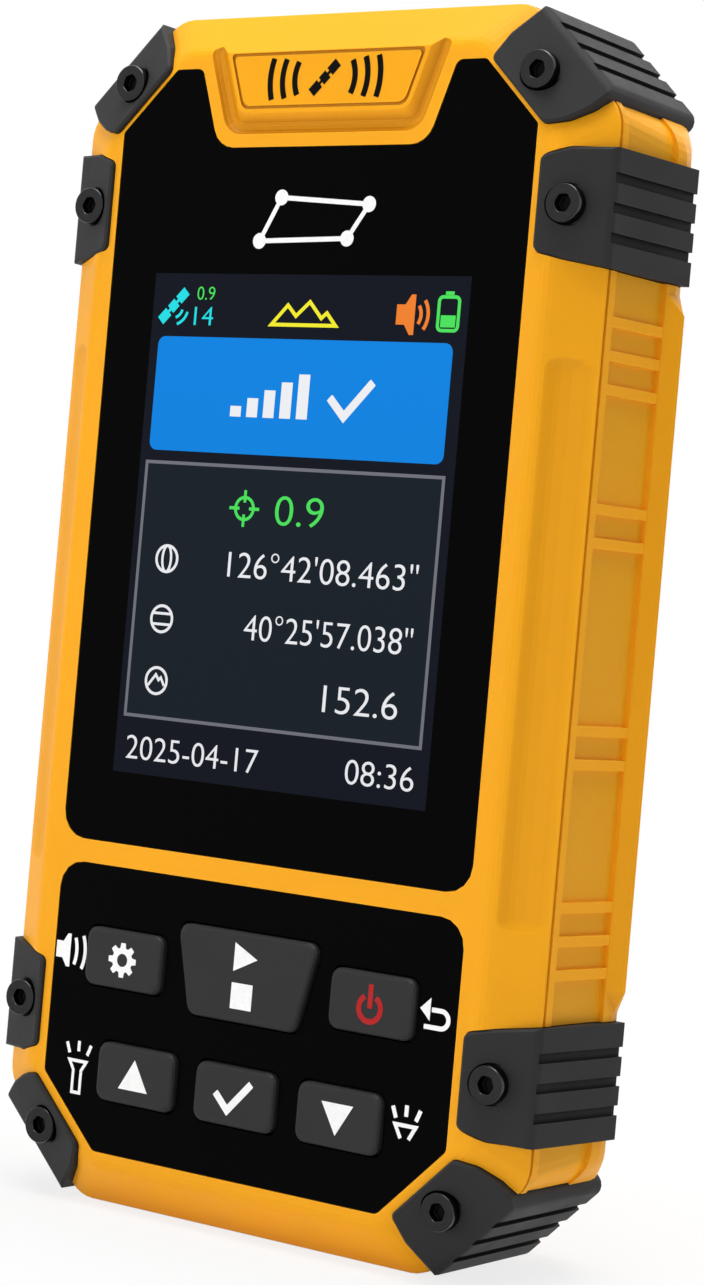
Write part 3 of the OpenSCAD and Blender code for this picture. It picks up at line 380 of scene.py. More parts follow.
def build_print(name):
    """Screen-printed ink: fine mottling of its tone and gloss."""
    group, tree, given, out = new_group(
        name, [("Colour", COLOUR, WHITE)], [("Colour", COLOUR), ("Roughness", FLOAT)]
    )
    place = tree.place()
    mottle = tree.remap(tree.noise(place, MOTTLE_SCALE, 3.0, 0.6), *SPREAD, 0.94, 1.0)
    tree.feed(out["Colour"], tree.mix(1.0, given["Colour"], mottle, "MULTIPLY"))
    tree.feed(out["Roughness"], tree.remap(tree.noise(place, GLOSS_SCALE), *SPREAD, 0.38, 0.52))
    return group


# Finishes


def surface(name, **sockets):
    """A material with one Principled shader, its plain values set on the shader's own sockets."""
    material = bpy.data.materials.new(name)
    material.use_nodes = True
    tree = Tree(material.node_tree)
    shader = tree.find("BSDF_PRINCIPLED").inputs
    for socket, value in sockets.items():
        tree.feed(shader[socket.replace("_", " ")], value)
    return material, tree, shader


def roughen(tree, shader, height, strength, depth):
    """Bumps a surface by a height that changes over it; the depth is in metres."""
    bump = tree.add("ShaderNodeBump", {"Height": height, "Strength": strength, "Distance": depth})
    tree.feed(shader["Normal"], bump.outputs[0])


def recess_mask(tree):
    return use_group(tree, "recess_shade", build_recess)["Mask"]


def moulded(
    name,
    tint,
    rubbed,
    fineness,
    depth,
    rub,
    rough=(0.4, 0.5),
    shade=None,
    where=recess_mask,
    **sockets,
):
    """Moulded plastic or rubber: grain, drifting tone, rubbed edges and painted shade in recesses.

    The fineness is in grains a metre, the depth in millimetres.
    """
    material, tree, shader = surface(name, **sockets)
    grain = use_group(tree, "moulded_grain", build_grain, Fineness=fineness)
    edge = use_group(tree, "edge_rub", build_edge_rub_and_shade, Amount=rub)
    tones = [[min(1.0, part * tone) for part in tint] for tone in TONES]
    toned = tree.mix(grain["Tone"], *tones)
    # Painted shade: the shade colour is mixed in where the mask finds a recess
    if shade:
        toned = tree.mix(where(tree), toned, shade)
    tree.feed(shader["Base Color"], tree.mix(edge["Mask"], toned, rubbed))
    tree.feed(shader["Roughness"], tree.remap(grain["Polish"], 0.0, 1.0, *rough))
    roughen(tree, shader, grain["Height"], strength=0.35, depth=depth * MM)
    return material


def inked(name, tint, **sockets):
    """Printed ink."""
    material, tree, shader = surface(name, **sockets)
    ink = use_group(tree, "printed_ink", build_print, Colour=(*tint, 1.0))
    tree.feed(shader["Base Color"], ink["Colour"])
    tree.feed(shader["Roughness"], ink["Roughness"])
    return material


def lit(name, tint):
    """A lit part of the screen's picture."""
    material, tree, shader = surface(
        name,
        Base_Color=(0.001, 0.001, 0.001),
        Roughness=0.25,
        Specular_IOR_Level=0.03,
        Emission_Strength=1.0,
    )
    pixels = use_group(tree, "screen_pixels", build_pixels, Colour=(*tint, 1.0))
    tree.feed(shader["Emission Color"], pixels["Colour"])
    return material


def glossy(name, tint, rough, **sockets):
    """Gloss plastic, glass or film: fine haze in its colour, faint wipe marks in its polish."""
    material, tree, shader = surface(name, **sockets)
    place = tree.place()
    haze = tree.remap(tree.noise(place, HAZE_SCALE), *SPREAD)
    wipes = tree.noise(place, WIPE_SCALE, 4.0, 0.7)
    tree.feed(shader["Base Color"], tree.mix(haze, [part * 0.85 for part in tint], tint))
    tree.feed(shader["Roughness"], tree.remap(wipes, 0.3, 0.75, *rough))
    return material


def metal(name, tint, rough, streak=(1.0, 1.0, 1.0), **sockets):
    """Metal with fine turning or rolling streaks."""
    material, tree, shader = surface(name, **sockets)
    stretched = tree.add("ShaderNodeMapping", {"Vector": tree.place(), "Scale": streak}).outputs[0]
    streaks = tree.noise(stretched, STREAK_SCALE, 3.0, 0.6)
    tree.feed(shader["Base Color"], tree.mix(streaks, [part * 0.8 for part in tint], tint))
    tree.feed(shader["Roughness"], tree.remap(streaks, *SPREAD, *rough))
    roughen(tree, shader, streaks, strength=0.1, depth=0.01 * MM)
    return material


def dress(material, *names):
    """Puts a finish on CAD nodes."""
    for name in names:
        for slot in NODES[name].material_slots:
            slot.material = material


# Rounding of edges: points this close are one, faces within this turn are flat
WELD_GAP = 0.002 * MM
FLAT_TURN = math.radians(1.0)
ROUND_STEPS = 3
FACE_WEIGHT = 60


def soften(name, width, sharp=30.0, clamp=True):
    """Rounds a CAD node's edges, from a sharpness in degrees; its own mesh stays as it is."""
    node = NODES[name]
    weld = node.modifiers.new("weld", "WELD")
    weld.merge_threshold = WELD_GAP
    clean = node.modifiers.new("flat_faces", "DECIMATE")
    clean.decimate_type = "DISSOLVE"
    clean.angle_limit = FLAT_TURN
    bevel = node.modifiers.new("rounded_edges", "BEVEL")
    bevel.width = width
    bevel.segments = ROUND_STEPS
    bevel.limit_method = "ANGLE"
    bevel.angle_limit = math.radians(sharp)
    bevel.miter_outer = "MITER_ARC"
    bevel.use_clamp_overlap = clamp
    normals = node.modifiers.new("even_normals", "WEIGHTED_NORMAL")
    normals.keep_sharp = False
    normals.weight = FACE_WEIGHT


# Flat shapes: lists of faces, each a list of (x, z) points in millimetres from the housing's middle


# How the corners of a stroke's ends are cut, and the least cosine that its corners reach out by
CAP_ANGLE = math.radians(24)
LEAST_MITRE = 0.35


def arc(centre, radius, start, end, steps):
    """Points of an arc, from one angle to another in degrees."""
    angles = [math.radians(start + (end - start) * i / steps) for i in range(steps + 1)]
    return [(centre[0] + radius * math.cos(a), centre[1] + radius * math.sin(a)) for a in angles]


def circle(centre, radius, steps=32):
    return arc(centre, radius, 0, 360 * (steps - 1) / steps, steps - 1)


def rectangle(x0, z0, x1, z1):
    return [(x0, z0), (x1, z0), (x1, z1), (x0, z1)]


def rounded_rectangle(x0, z0, x1, z1, r):
    west, south, east, north = x0 + r, z0 + r, x1 - r, z1 - r
    corners = [(east, south, -90), (east, north, 0), (west, north, 90), (west, south, 180)]
    return [point for x, z, a in corners for point in arc((x, z), r, a, a + 90, 6)]


def stroke(points, width, closed=False):
    """A line of even width, as a strip of four-sided faces with cut corners at its ends."""
    line = [Vector(p) for p in points]
    count = len(line)
    half = width / 2
    sides = []
    for i, p in enumerate(line):
        into = (p - line[i - 1]).normalized() if closed or i else None
        away = (line[(i + 1) % count] - p).normalized() if closed or i < count - 1 else None
        into, away = into or away, away or into
        along = (into + away).normalized()
        reach = half / max(LEAST_MITRE, along.dot(into))
        across = Vector((-along.y, along.x))
        sides.append((p + across * reach, p - across * reach))
    if closed:
        sides.append(sides[0])
    else:
        for end, beside, flip in ((0, 1, 1), (-1, -2, -1)):
            out = (line[end] - line[beside]).normalized()
            across = Vector((out.y, -out.x)) * flip
            tip = line[end] + out * half * math.sin(CAP_ANGLE)
            aside = across * half * math.cos(CAP_ANGLE)
            cap = [(tip + aside, tip - aside)]
            sides = cap + sides if flip == 1 else sides + cap
    return [[r0, r1, l1, l0] for (l0, r0), (l1, r1) in zip(sides, sides[1:])]


def strokes(lines, width):
    return [face for line in lines for face in stroke(line, width)]


def moved(faces, x, z):
    return [[(p[0] + x, p[1] + z) for p in face] for face in faces]


def gear(teeth, inner, outer, hole):
    """A cog with a round hole, as a ring of faces."""
    rim = []
    for i in range(teeth):
        for share, radius in ((-0.36, inner), (-0.2, outer), (0.2, outer), (0.36, inner)):
            a = 2 * math.pi * (i + share) / teeth
            rim.append((radius * math.cos(a), radius * math.sin(a)))
    core = [(hole * x / math.hypot(x, z), hole * z / math.hypot(x, z)) for x, z in rim]
    count = len(rim)
    return [[core[i], rim[i], rim[(i + 1) % count], core[(i + 1) % count]] for i in range(count)]


def check_mark(size, width):
    points = [(-0.5, 0.02), (-0.14, -0.34), (0.5, 0.36)]
    return stroke([(x * size, z * size) for x, z in points], width)


def meridian(side, wide, radius):
    """Half of a globe's upright line, on one side of its middle."""
    angles = [math.radians(a) for a in range(14, 167, 8)]
    return [(side * wide * math.sin(a), radius * math.cos(a)) for a in angles]


def satellite(size):
    """A satellite sign: a body with two wings, leaning to one side."""
    wings = [rectangle(s * 0.5 - 0.22, -0.17, s * 0.5 + 0.22, 0.17) for s in (-1, 1)]
    arms = [rectangle(s * 0.225 - 0.055, -0.05, s * 0.225 + 0.055, 0.05) for s in (-1, 1)]
    middle = rectangle(-0.17, -0.17, 0.17, 0.17)
    lean = Matrix.Rotation(math.radians(45), 2)
    return [[lean @ Vector(p) * size for p in face] for face in (*wings, *arms, middle)]


def loudspeaker(x, z, size, width, waves):
    """A loudspeaker sign; a wave has a place, half a height and a bulge, in shares of its size."""
    box = rectangle(-0.5, -0.24, -0.26, 0.24)
    cone = [(-0.26, -0.24), (-0.1, -0.48), (0.02, -0.48), (0.02, 0.48), (-0.1, 0.48), (-0.26, 0.24)]
    faces = [[(px * size, pz * size) for px, pz in face] for face in (box, cone)]
    for place, half, bulge in waves:
        radius = (half * half + bulge * bulge) / (2 * bulge)
        spread = math.degrees(math.asin(half / radius))
        centre = ((place - radius) * size, 0)
        faces += stroke(arc(centre, radius * size, -spread, spread, 10), width)
    return moved(faces, x, z)


# Pieces


# Numbers are set this deep before they are scaled, with their strokes thinned by this much
SET_DEPTH = 0.5
SET_THIN = -0.009


def finish_piece(name, mesh, material, body):
    mesh.materials.append(material)
    piece = bpy.data.objects.new(name, mesh)
    bpy.context.scene.collection.objects.link(piece)
    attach(piece, body)


def flat_piece(name, faces, front, material, body=BODY):
    """A thin piece with its back on the plane y = front, riding on a body."""
    mesh = bpy.data.meshes.new(name)
    shape = bmesh.new()
    known = {}
    for face in faces:
        corners = []
        for x, z in face:
            spot = (round(x, 4), round(z, 4))
            if spot not in known:
                known[spot] = shape.verts.new((x * MM, front - INK_T, MID_Z + z * MM))
            if known[spot] not in corners:
                corners.append(known[spot])
        if len(corners) > 2:
            shape.faces.new(corners)
    made = bmesh.ops.extrude_face_region(shape, geom=shape.faces[:], use_keep_orig=True)["geom"]
    back = [part for part in made if isinstance(part, bmesh.types.BMVert)]
    bmesh.ops.translate(shape, verts=back, vec=(0, INK_T, 0))
    bmesh.ops.recalc_face_normals(shape, faces=shape.faces[:])
    shape.to_mesh(mesh)
    shape.free()
    finish_piece(name, mesh, material, body)


def number_piece(name, text, left, right, foot, high, front, material, slot):
    """Plain numbers set between two sides, standing on a foot line, as thin solid shapes."""
    curve = bpy.data.curves.new(name, "FONT")
    curve.body = text
    curve.extrude = SET_DEPTH
    curve.offset = SET_THIN
    setter = bpy.data.objects.new(name + "_setter", curve)
    bpy.context.scene.collection.objects.link(setter)
    bpy.context.view_layer.update()
    solved = setter.evaluated_get(bpy.context.evaluated_depsgraph_get())
    mesh = bpy.data.meshes.new_from_object(solved)
    bpy.data.objects.remove(setter)
    low = Vector([min(v.co[i] for v in mesh.vertices) for i in range(3)])
    top = Vector([max(v.co[i] for v in mesh.vertices) for i in range(3)])
    wide = (right - left) / (top.x - low.x) * MM
    tall = high / (top.y - low.y) * MM
    for v in mesh.vertices:
        x, z, depth = v.co
        v.co = (
            left * MM + (x - low.x) * wide,
            front - (depth - low.z) / (top.z - low.z) * INK_T,
            MID_Z + foot * MM + (z - low.y) * tall,
        )
    mesh.name = name
    finish_piece(name, mesh, material, BODY)


# Operators


class METER_OT_housing(bpy.types.Operator):
    """Dress the front shell, the middle frame and the rear shell"""

    bl_idname = "meter.dress_housing"
    bl_label = "Housing"

    def execute(self, context):
        finish = context.scene.meter_finish
        shared = {
            "rubbed": finish.shell_edge,
            "fineness": 1 / finish.grain,
            "depth": 0.03,
            "rub": 0.4,
            "Specular_IOR_Level": 0.15,
        }
        plastic = moulded(
            "housing_plastic", finish.shell, shade=finish.shell_shade, where=self.hollows, **shared
        )
        self.blacken_wells(plastic)
        dress(plastic, "front_shell", "rear_shell")
        band = moulded(
            "band_plastic", finish.band, shade=finish.band_panel, where=self.panels, **shared
        )
        dress(band, "middle_frame")
        return {"FINISHED"}

    def hollows(self, tree):
        """Mask of painted shade: 1 in sharp recesses, and a share of it in the thumb scoops, below
        the flanks' slant.
        """
        spot = tree.spot()
        aside = tree.math("MULTIPLY", tree.math("ABSOLUTE", spot["X"]), math.sin(FLANK_TURN))
        ahead = tree.math("MULTIPLY", spot["Y"], math.cos(FLANK_TURN))
        below = tree.math("SUBTRACT", FLANK_REACH, tree.math("SUBTRACT", aside, ahead))
        along = tree.math("ABSOLUTE", tree.math("SUBTRACT", spot["Z"], MID_Z))
        scoop = tree.ramps(
            (below, *SCOOP_BEGINS),
            (below, *SCOOP_ENDS),
            (along, SCOOP_HALF + MM, SCOOP_HALF),
            (spot["Y"], LENS_FRONT + 0.3 * MM, LENS_FRONT + 0.7 * MM),
        )
        shaded = tree.math("MULTIPLY", scoop, SCOOP_SHADE)
        return tree.math("MAXIMUM", recess_mask(tree), shaded)

    def blacken_wells(self, plastic):
        """Blackens the walls of the key openings, behind the overlay."""
        tree = Tree(plastic.node_tree)
        tinted = tree.find("BSDF_PRINCIPLED").inputs["Base Color"]
        low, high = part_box("keypad_overlay")
        near, far = WELL_DEEP
        soft = 0.1 * MM
        spot = tree.spot()
        behind = tree.math("SUBTRACT", spot["Y"], LENS_FRONT)
        aside = tree.math("ABSOLUTE", spot["X"])
        well = tree.ramps(
            (behind, near, near + soft / 2),
            (behind, far, far - soft),
            (aside, high.x - WELL_INSET, high.x - WELL_INSET - soft),
            (spot["Z"], low.z + WELL_INSET, low.z + WELL_INSET + soft),
            (spot["Z"], high.z - WELL_INSET, high.z - WELL_INSET - soft),
        )
        tree.feed(tinted, tree.mix(well, tinted.links[0].from_socket, WELL_BLACK))

    def panels(self, tree):
        """1 on the panels between the band's ribs, where shade is painted: just behind the ribs'
        leaning faces.
        """
        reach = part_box("middle_frame")[1]
        spot = tree.spot()
        back = tree.math("SUBTRACT", spot["Y"], reach.y)
        face = tree.math("MULTIPLY_ADD", back, SIDE_SLOPE, reach.x)
        below = tree.math("SUBTRACT", face, tree.math("ABSOLUTE", spot["X"]))
        return tree.ramps((below, *PANEL_BEGINS), (below, *PANEL_ENDS))


class METER_OT_guards(bpy.types.Operator):
    """Dress the bumper guards and their screws"""

    bl_idname = "meter.dress_guards"
    bl_label = "Guards and screws"

    def execute(self, context):
        finish = context.scene.meter_finish
        plastic = moulded(
            "guard_plastic",
            finish.guard,
            finish.guard_edge,
            fineness=1.3 / finish.grain,
            depth=0.025,
            rub=0.35,
            rough=(0.5, 0.62),
            shade=finish.guard_shade,
            Specular_IOR_Level=0.1,
        )
        dress(plastic, *GUARDS)
        for name in GUARDS:
            soften(name, finish.guard_round)
        dress(self.oxide(), "guard_screws")
        soften("guard_screws", finish.screw_round, sharp=40.0, clamp=False)
        brass = metal("insert_brass", (0.55, 0.36, 0.1), (0.3, 0.42), Metallic=1.0)
        dress(brass, "threaded_inserts")
        return {"FINISHED"}

    def oxide(self):
        """Blackened steel: grey on the heads' faces, painted shade in black on the sockets, the
        heads' sides and a ring round each face, bright at the rims.
        """
        material, tree, shader = surface(
            "screw_oxide", Specular_IOR_Level=0.05, Coat_Roughness=0.16
        )
        streaks = tree.noise(tree.place(), STREAK_SCALE, 3.0, 0.6)
        depth = tree.math("SUBTRACT", tree.spot()["Y"], SCREW_FRONT)
        edge = use_group(tree, "edge_rub", build_edge_rub_and_shade, Width=0.4 * MM, Amount=1.0)["Mask"]
        flat = tree.remap(depth, *FACE_ENDS)
        near = tree.remap(depth, *RIM_ENDS)
        rim = tree.math("MULTIPLY", near, tree.math("SUBTRACT", 1.0, flat))
        # Painted shade: black below the heads' faces and in a ring round their edges
        unshaded_face = tree.math("MULTIPLY", flat, tree.remap(edge, 0.0, 0.5, 1.0, 0.4))
        grey = tree.mix(streaks, SCREW_DARK, SCREW_PALE)
        polish = tree.remap(unshaded_face, 0.0, 1.0, 0.18, 0.45)
        tree.feed(shader["Coat Weight"], rim)
        tree.feed(shader["Base Color"], tree.mix(unshaded_face, SOCKET_SHADE, grey))
        tree.feed(shader["Roughness"], tree.math("MULTIPLY_ADD", streaks, 0.1, polish))
        return material


class METER_OT_lens(bpy.types.Operator):
    """Dress the screen lens, and print the signs above the picture"""

    bl_idname = "meter.dress_lens"
    bl_label = "Lens"

    def execute(self, context):
        finish = context.scene.meter_finish
        gloss = glossy("lens_gloss", finish.lens, (0.12, 0.2), Specular_IOR_Level=0.02)
        dress(gloss, "screen_lens")
        white = inked("white_print", finish.lens_print, Specular_IOR_Level=0.2)
        plot = [(-7.2, 42.5), (4.8, 42.8), (7.4, 46.6), (-4.6, 47.4)]
        flat_piece("plot_sign", stroke(plot, 0.55, closed=True), LENS_FRONT, white)
        pins = [circle(p, 0.9, 20) for p in plot]
        flat_piece("plot_pins", pins, LENS_FRONT - INK_T, white)
        black = inked("black_print", finish.boss_print, Specular_IOR_Level=0.04)
        waves = [
            arc((0, 0), radius, turn - spread, turn + spread, 12)
            for turn in (0, 180)
            for radius, spread in ((4.1, 25), (5.8, 21), (7.5, 17))
        ]
        faces = moved(satellite(3.3) + strokes(waves, 0.72), 0, 60.75)
        flat_piece("boss_sign", faces, BOSS_FRONT, black)
        return {"FINISHED"}


class METER_OT_picture(bpy.types.Operator):
    """Light the picture on the screen"""

    bl_idname = "meter.light_picture"
    bl_label = "Picture"

    def execute(self, context):
        tints = context.scene.meter_picture
        glow = {name: lit("screen_" + name, getattr(tints, name)) for name in tints.__annotations__}
        level = [LENS_FRONT - INK_T * i for i in range(4)]

        def mark(name, faces, tint, height=2):
            flat_piece("screen_" + name, faces, level[height], glow[tint])

        def number(name, text, left, right, foot, tall, tint):
            place = (left, right, foot, tall, level[2])
            number_piece("screen_" + name, text, *place, glow[tint], "display")

        mark("ground", [rectangle(-21.6, -18.85, 21.6, 38.75)], "ground", 0)
        mark("field", [rectangle(-20.3, -12.1, 20.2, 16.95)], "field", 1)
        mark("frame", stroke(rectangle(-20.5, -12.2, 20.3, 17.0), 0.38, closed=True), "line")
        mark("panel", [rounded_rectangle(-20.4, 18.4, 20.0, 31.5, 1.0)], "panel", 1)
        mark("satellite", moved(satellite(3.4), -18.6, 35.0), "cyan")
        waves = [arc((-18.5, 34.9), radius, -72, -18, 8) for radius in (1.25, 2.05)]
        mark("satellite_waves", strokes(waves, 0.32), "cyan")
        number("precision_small", "0.9", -15.3, -12.8, 35.75, 1.5, "green")
        number("satellites", "14", -15.5, -12.8, 32.85, 2.1, "cyan")
        hills = [
            *[(-4.5, 33.1), (-2.4, 35.3), (-1.2, 34.1), (0.6, 35.7)],
            *[(2.3, 33.9), (3.0, 34.5), (4.3, 33.1)],
        ]
        mark("terrain", stroke(hills, 0.42, closed=True), "yellow")
        sound = loudspeaker(14.6, 34.5, 4.6, 0.42, [(0.2, 0.2, 0.06), (0.4, 0.33, 0.1)])
        mark("sound", sound, "orange")
        cell = stroke(rounded_rectangle(17.75, 32.85, 20.35, 36.5, 0.5), 0.38, closed=True)
        mark("battery", cell + [rectangle(18.5, 36.72, 19.6, 37.1)], "green")
        mark("charge", [rectangle(18.1, 33.2, 20.0, 34.5)], "green")
        steps = [(2.3 * i, 0.95 * i) for i in range(5)]
        bars = [rectangle(-9.2 + x, 22.6, -7.7 + x, 23.8 + z) for x, z in steps]
        mark("signal", bars, "white")
        mark("signal_good", moved(check_mark(5.4, 0.95), 7.2, 24.9), "white")
        target = (-6.0, 12.3)
        ring = stroke(circle((0, 0), 1.25), 0.36, closed=True)
        mark("target", moved(ring, *target), "green")
        ways = ((1, 0), (-1, 0), (0, 1), (0, -1))
        cross = [[(x * reach, z * reach) for reach in (0.75, 2.0)] for x, z in ways]
        mark("target_cross", moved(strokes(cross, 0.36), *target), "green", 3)
        number("precision", "0.9", -1.7, 4.9, 10.66, 3.3, "green")
        radius = 1.5
        globe = stroke(circle((0, 0), radius), 0.32, closed=True)
        upright = [meridian(side, 0.62, radius) for side in (1, -1)]
        level_lines = [[(-1.2, z), (1.2, z)] for z in (-0.62, 0.62)]
        peaks = [[(-1.1, -0.55), (-0.1, 0.7), (0.35, 0.1), (0.65, 0.4), (1.15, -0.45)]]
        for name, text, left, right, foot, lines in (
            ("east", "126°42'08.463\"", -7.6, 18.1, 4.5, upright),
            ("north", "40°25'57.038\"", -4.6, 18.1, -2.4, level_lines),
            ("height", "152.6", 7.0, 16.9, -9.5, peaks),
        ):
            number(name, text, left, right, foot, 2 * radius, "white")
            spot = (-16.4, foot + radius)
            mark(name + "_globe", moved(globe, *spot), "white")
            mark(name + "_sign", moved(strokes(lines, 0.3), *spot), "white", 3)
        number("date", "2025-04-17", -19.9, -1.1, -17.2, 2.7, "white")
        number("clock", "08:36", 10.8, 19.8, -17.0, 2.7, "white")
        return {"FINISHED"}


class METER_OT_keypad(bpy.types.Operator):
    """Dress the key overlay and print its signs"""

    bl_idname = "meter.dress_keypad"
    bl_label = "Key overlay"

    def execute(self, context):
        finish = context.scene.meter_finish
        film = glossy("overlay_film", finish.lens, (0.3, 0.42), Specular_IOR_Level=0.02)
        dress(film, "keypad_overlay")
        white = inked("overlay_print", finish.key_print, Specular_IOR_Level=0.2)

        def sign(name, faces):
            flat_piece(name, faces, LENS_FRONT, white)

        waves = [(0.26, 0.366, 0.063), (0.573, 0.455, 0.09)]
        sign("sound_sign", loudspeaker(-25.65, -40.2, 4.0, 0.46, waves))
        rays = [
            ((-1.75, 2.0), (-1.33, 0.95)),
            ((0.0, 2.3), (0.0, 1.27)),
            ((1.75, 2.0), (1.33, 0.95)),
        ]
        head = [(-1.25, 0.08), (1.25, 0.08)]
        handle = [(0.57, -1.0), (0.57, -3.57), (-0.57, -3.57), (-0.57, -1.0)]
        bowl = [(-0.57, -1.15), (-1.33, 0.2), (1.33, 0.2), (0.57, -1.15)]
        torch, lamp = (-23.03, -52.77), (22.57, -52.75)
        sign("torch_rays", moved(strokes(rays, 0.42), *torch))
        sign("torch_sign", moved(stroke(head + handle, 0.38, closed=True), *torch))
        sign("lamp_rays", moved(strokes(rays, 0.5), *lamp))
        sign("lamp_sign", moved(stroke(bowl, 0.44), *lamp))
        bend = arc((25.9, -40.7), 0.94, 90, -90, 12)[1:]
        hook = [(24.75, -39.76), (25.9, -39.76), *bend, (23.9, -41.64)]
        sign("return_hook", stroke(hook, 0.52))
        sign("return_head", [[(23.15, -39.76), (24.46, -41.0), (24.46, -38.52)]])
        return {"FINISHED"}


class METER_OT_keys(bpy.types.Operator):
    """Dress the keys and print their signs"""

    bl_idname = "meter.dress_keys"
    bl_label = "Keys"

    def execute(self, context):
        finish = context.scene.meter_finish
        plastic = moulded(
            "key_plastic",
            finish.key,
            [part * 1.6 for part in finish.key],
            fineness=1.2 / finish.grain,
            depth=0.012,
            rub=0.3,
            rough=(0.45, 0.55),
            Specular_IOR_Level=0.2,
        )
        dress(plastic, *KEYS)
        white = inked("key_print", finish.key_print, Specular_IOR_Level=0.2)
        red = inked("power_print", finish.power_print, Specular_IOR_Level=0.2)

        def middle(name):
            low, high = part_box(name)
            return (low.x + high.x) / 2 / MM, ((low.z + high.z) / 2 - MID_Z) / MM

        def sign(name, key, faces, ink=white):
            flat_piece(name, moved(faces, *middle(key)), KEY_FRONT, ink, key)

        sign("settings_sign", "settings_key", gear(8, 1.45, 2.0, 0.75))
        play = [(-1.4, -1.6), (1.8, 0), (-1.4, 1.6)]
        sign("start_sign", "start_stop_key", moved([play], 0, 2.25))
        stop = rectangle(-1.45, -1.45, 1.45, 1.45)
        sign("stop_sign", "start_stop_key", moved([stop], 0, -2.05))
        ring = stroke(arc((0, -0.5), 1.42, 125, 415, 30), 0.62)
        sign("power_ring", "power_key", ring, red)
        sign("power_bar", "power_key", stroke([(0, -0.35), (0, 2.0)], 0.62), red)
        triangle = [(-2.1, -1.6), (2.1, -1.6), (0, 1.9)]
        sign("up_sign", "up_key", [triangle])
        sign("down_sign", "down_key", [[(x, -z) for x, z in reversed(triangle)]])
        sign("enter_sign", "enter_key", check_mark(4.6, 0.85))
        return {"FINISHED"}


class METER_OT_ends(bpy.types.Operator):
    """Dress the port, its cover and the torch, with the seals and metal that share their finish"""

    bl_idname = "meter.dress_ends"
    bl_label = "Port and torch"

    def execute(self, context):
        finish = context.scene.meter_finish
        rubber = moulded(
            "cover_rubber",
            finish.rubber,
            finish.rubber_edge,
            fineness=1500.0,
            depth=0.02,
            rub=0.3,
            rough=(0.6, 0.75),
            Specular_IOR_Level=0.2,
        )
        dress(rubber, "usb_cover", "battery_pad")
        dress(rubber, "front_gasket", "rear_gasket", "lcd_gasket", "speaker_gasket")
        soften("usb_cover", finish.fine_round)
        rolled = (1.0, 1.0, 0.05)
        bright = metal("port_metal", (0.62, 0.63, 0.65), (0.25, 0.38), rolled, Metallic=1.0)
        dress(bright, "usb_port", "lcd_tray", "gnss_module", "board_screws")
        clear = glossy(
            "torch_glass", (0.9, 0.94, 0.96), (0.04, 0.1), Transmission_Weight=0.85, IOR=1.5
        )
        dress(clear, "torch_lens")
        dress(glossy("torch_lamp", (0.86, 0.82, 0.55), (0.2, 0.3)), "torch_led")
        return {"FINISHED"}


class METER_OT_works(bpy.types.Operator):
    """Dress the works inside the housing"""

    bl_idname = "meter.dress_works"
    bl_label = "Works"

    def execute(self, context):
        fine = {"depth": 0.01, "rub": 0.2}
        dark = moulded("works_black", (0.015, 0.015, 0.016), (0.05, 0.05, 0.05), 1800.0, **fine)
        dress(dark, "lens_tape", "key_switches", "processor_chips", "speaker", "keypad_mat")
        for name, tint, rough, node in (
            ("panel_glass", (0.01, 0.014, 0.024), (0.08, 0.16), "lcd_panel"),
            ("backlight_film", (0.82, 0.83, 0.85), (0.3, 0.4), "backlight"),
            ("flex_film", (0.45, 0.17, 0.02), (0.2, 0.3), "lcd_flex"),
            ("board_mask", (0.015, 0.13, 0.045), (0.25, 0.38), "main_board"),
        ):
            dress(glossy(name, tint, rough), node)
        for name, tint, rubbed, node in (
            ("antenna_ceramic", (0.68, 0.6, 0.46), (0.75, 0.68, 0.56), "gnss_antenna"),
            ("socket_plastic", (0.82, 0.79, 0.7), (0.9, 0.88, 0.82), "battery_socket"),
        ):
            dress(moulded(name, tint, rubbed, 2000.0, **fine), node)
        foil = metal("battery_foil", (0.4, 0.43, 0.46), (0.35, 0.5), Metallic=0.7)
        dress(foil, "battery")
        return {"FINISHED"}


# Softboxes: name, direction from the meter's middle, side in metres, and whether gloss shows them
SOFTBOXES = (
    ("top", (0.05, -0.06, 1.0), 0.55, True),
    ("front", (0.2, -0.97, 0.05), 0.6, True),
    ("fill", (-0.5, -0.86, 0.05), 0.6, False),
    ("back", (0.0, 0.97, 0.25), 0.6, True),
)
SOFTBOX_AWAY = 0.75

# The floor's half side, and the distances over which it goes from shadowed to plain white
FLOOR_HALF = 3.0
FLOOR_FADE = (0.03, 0.16)

# The camera's sensor in millimetres, its shift in shares of the frame, and its clipping distances
SENSOR = 36.0
SHIFT = (-0.0021, -0.0235)
CLIP = (0.01, 20.0)


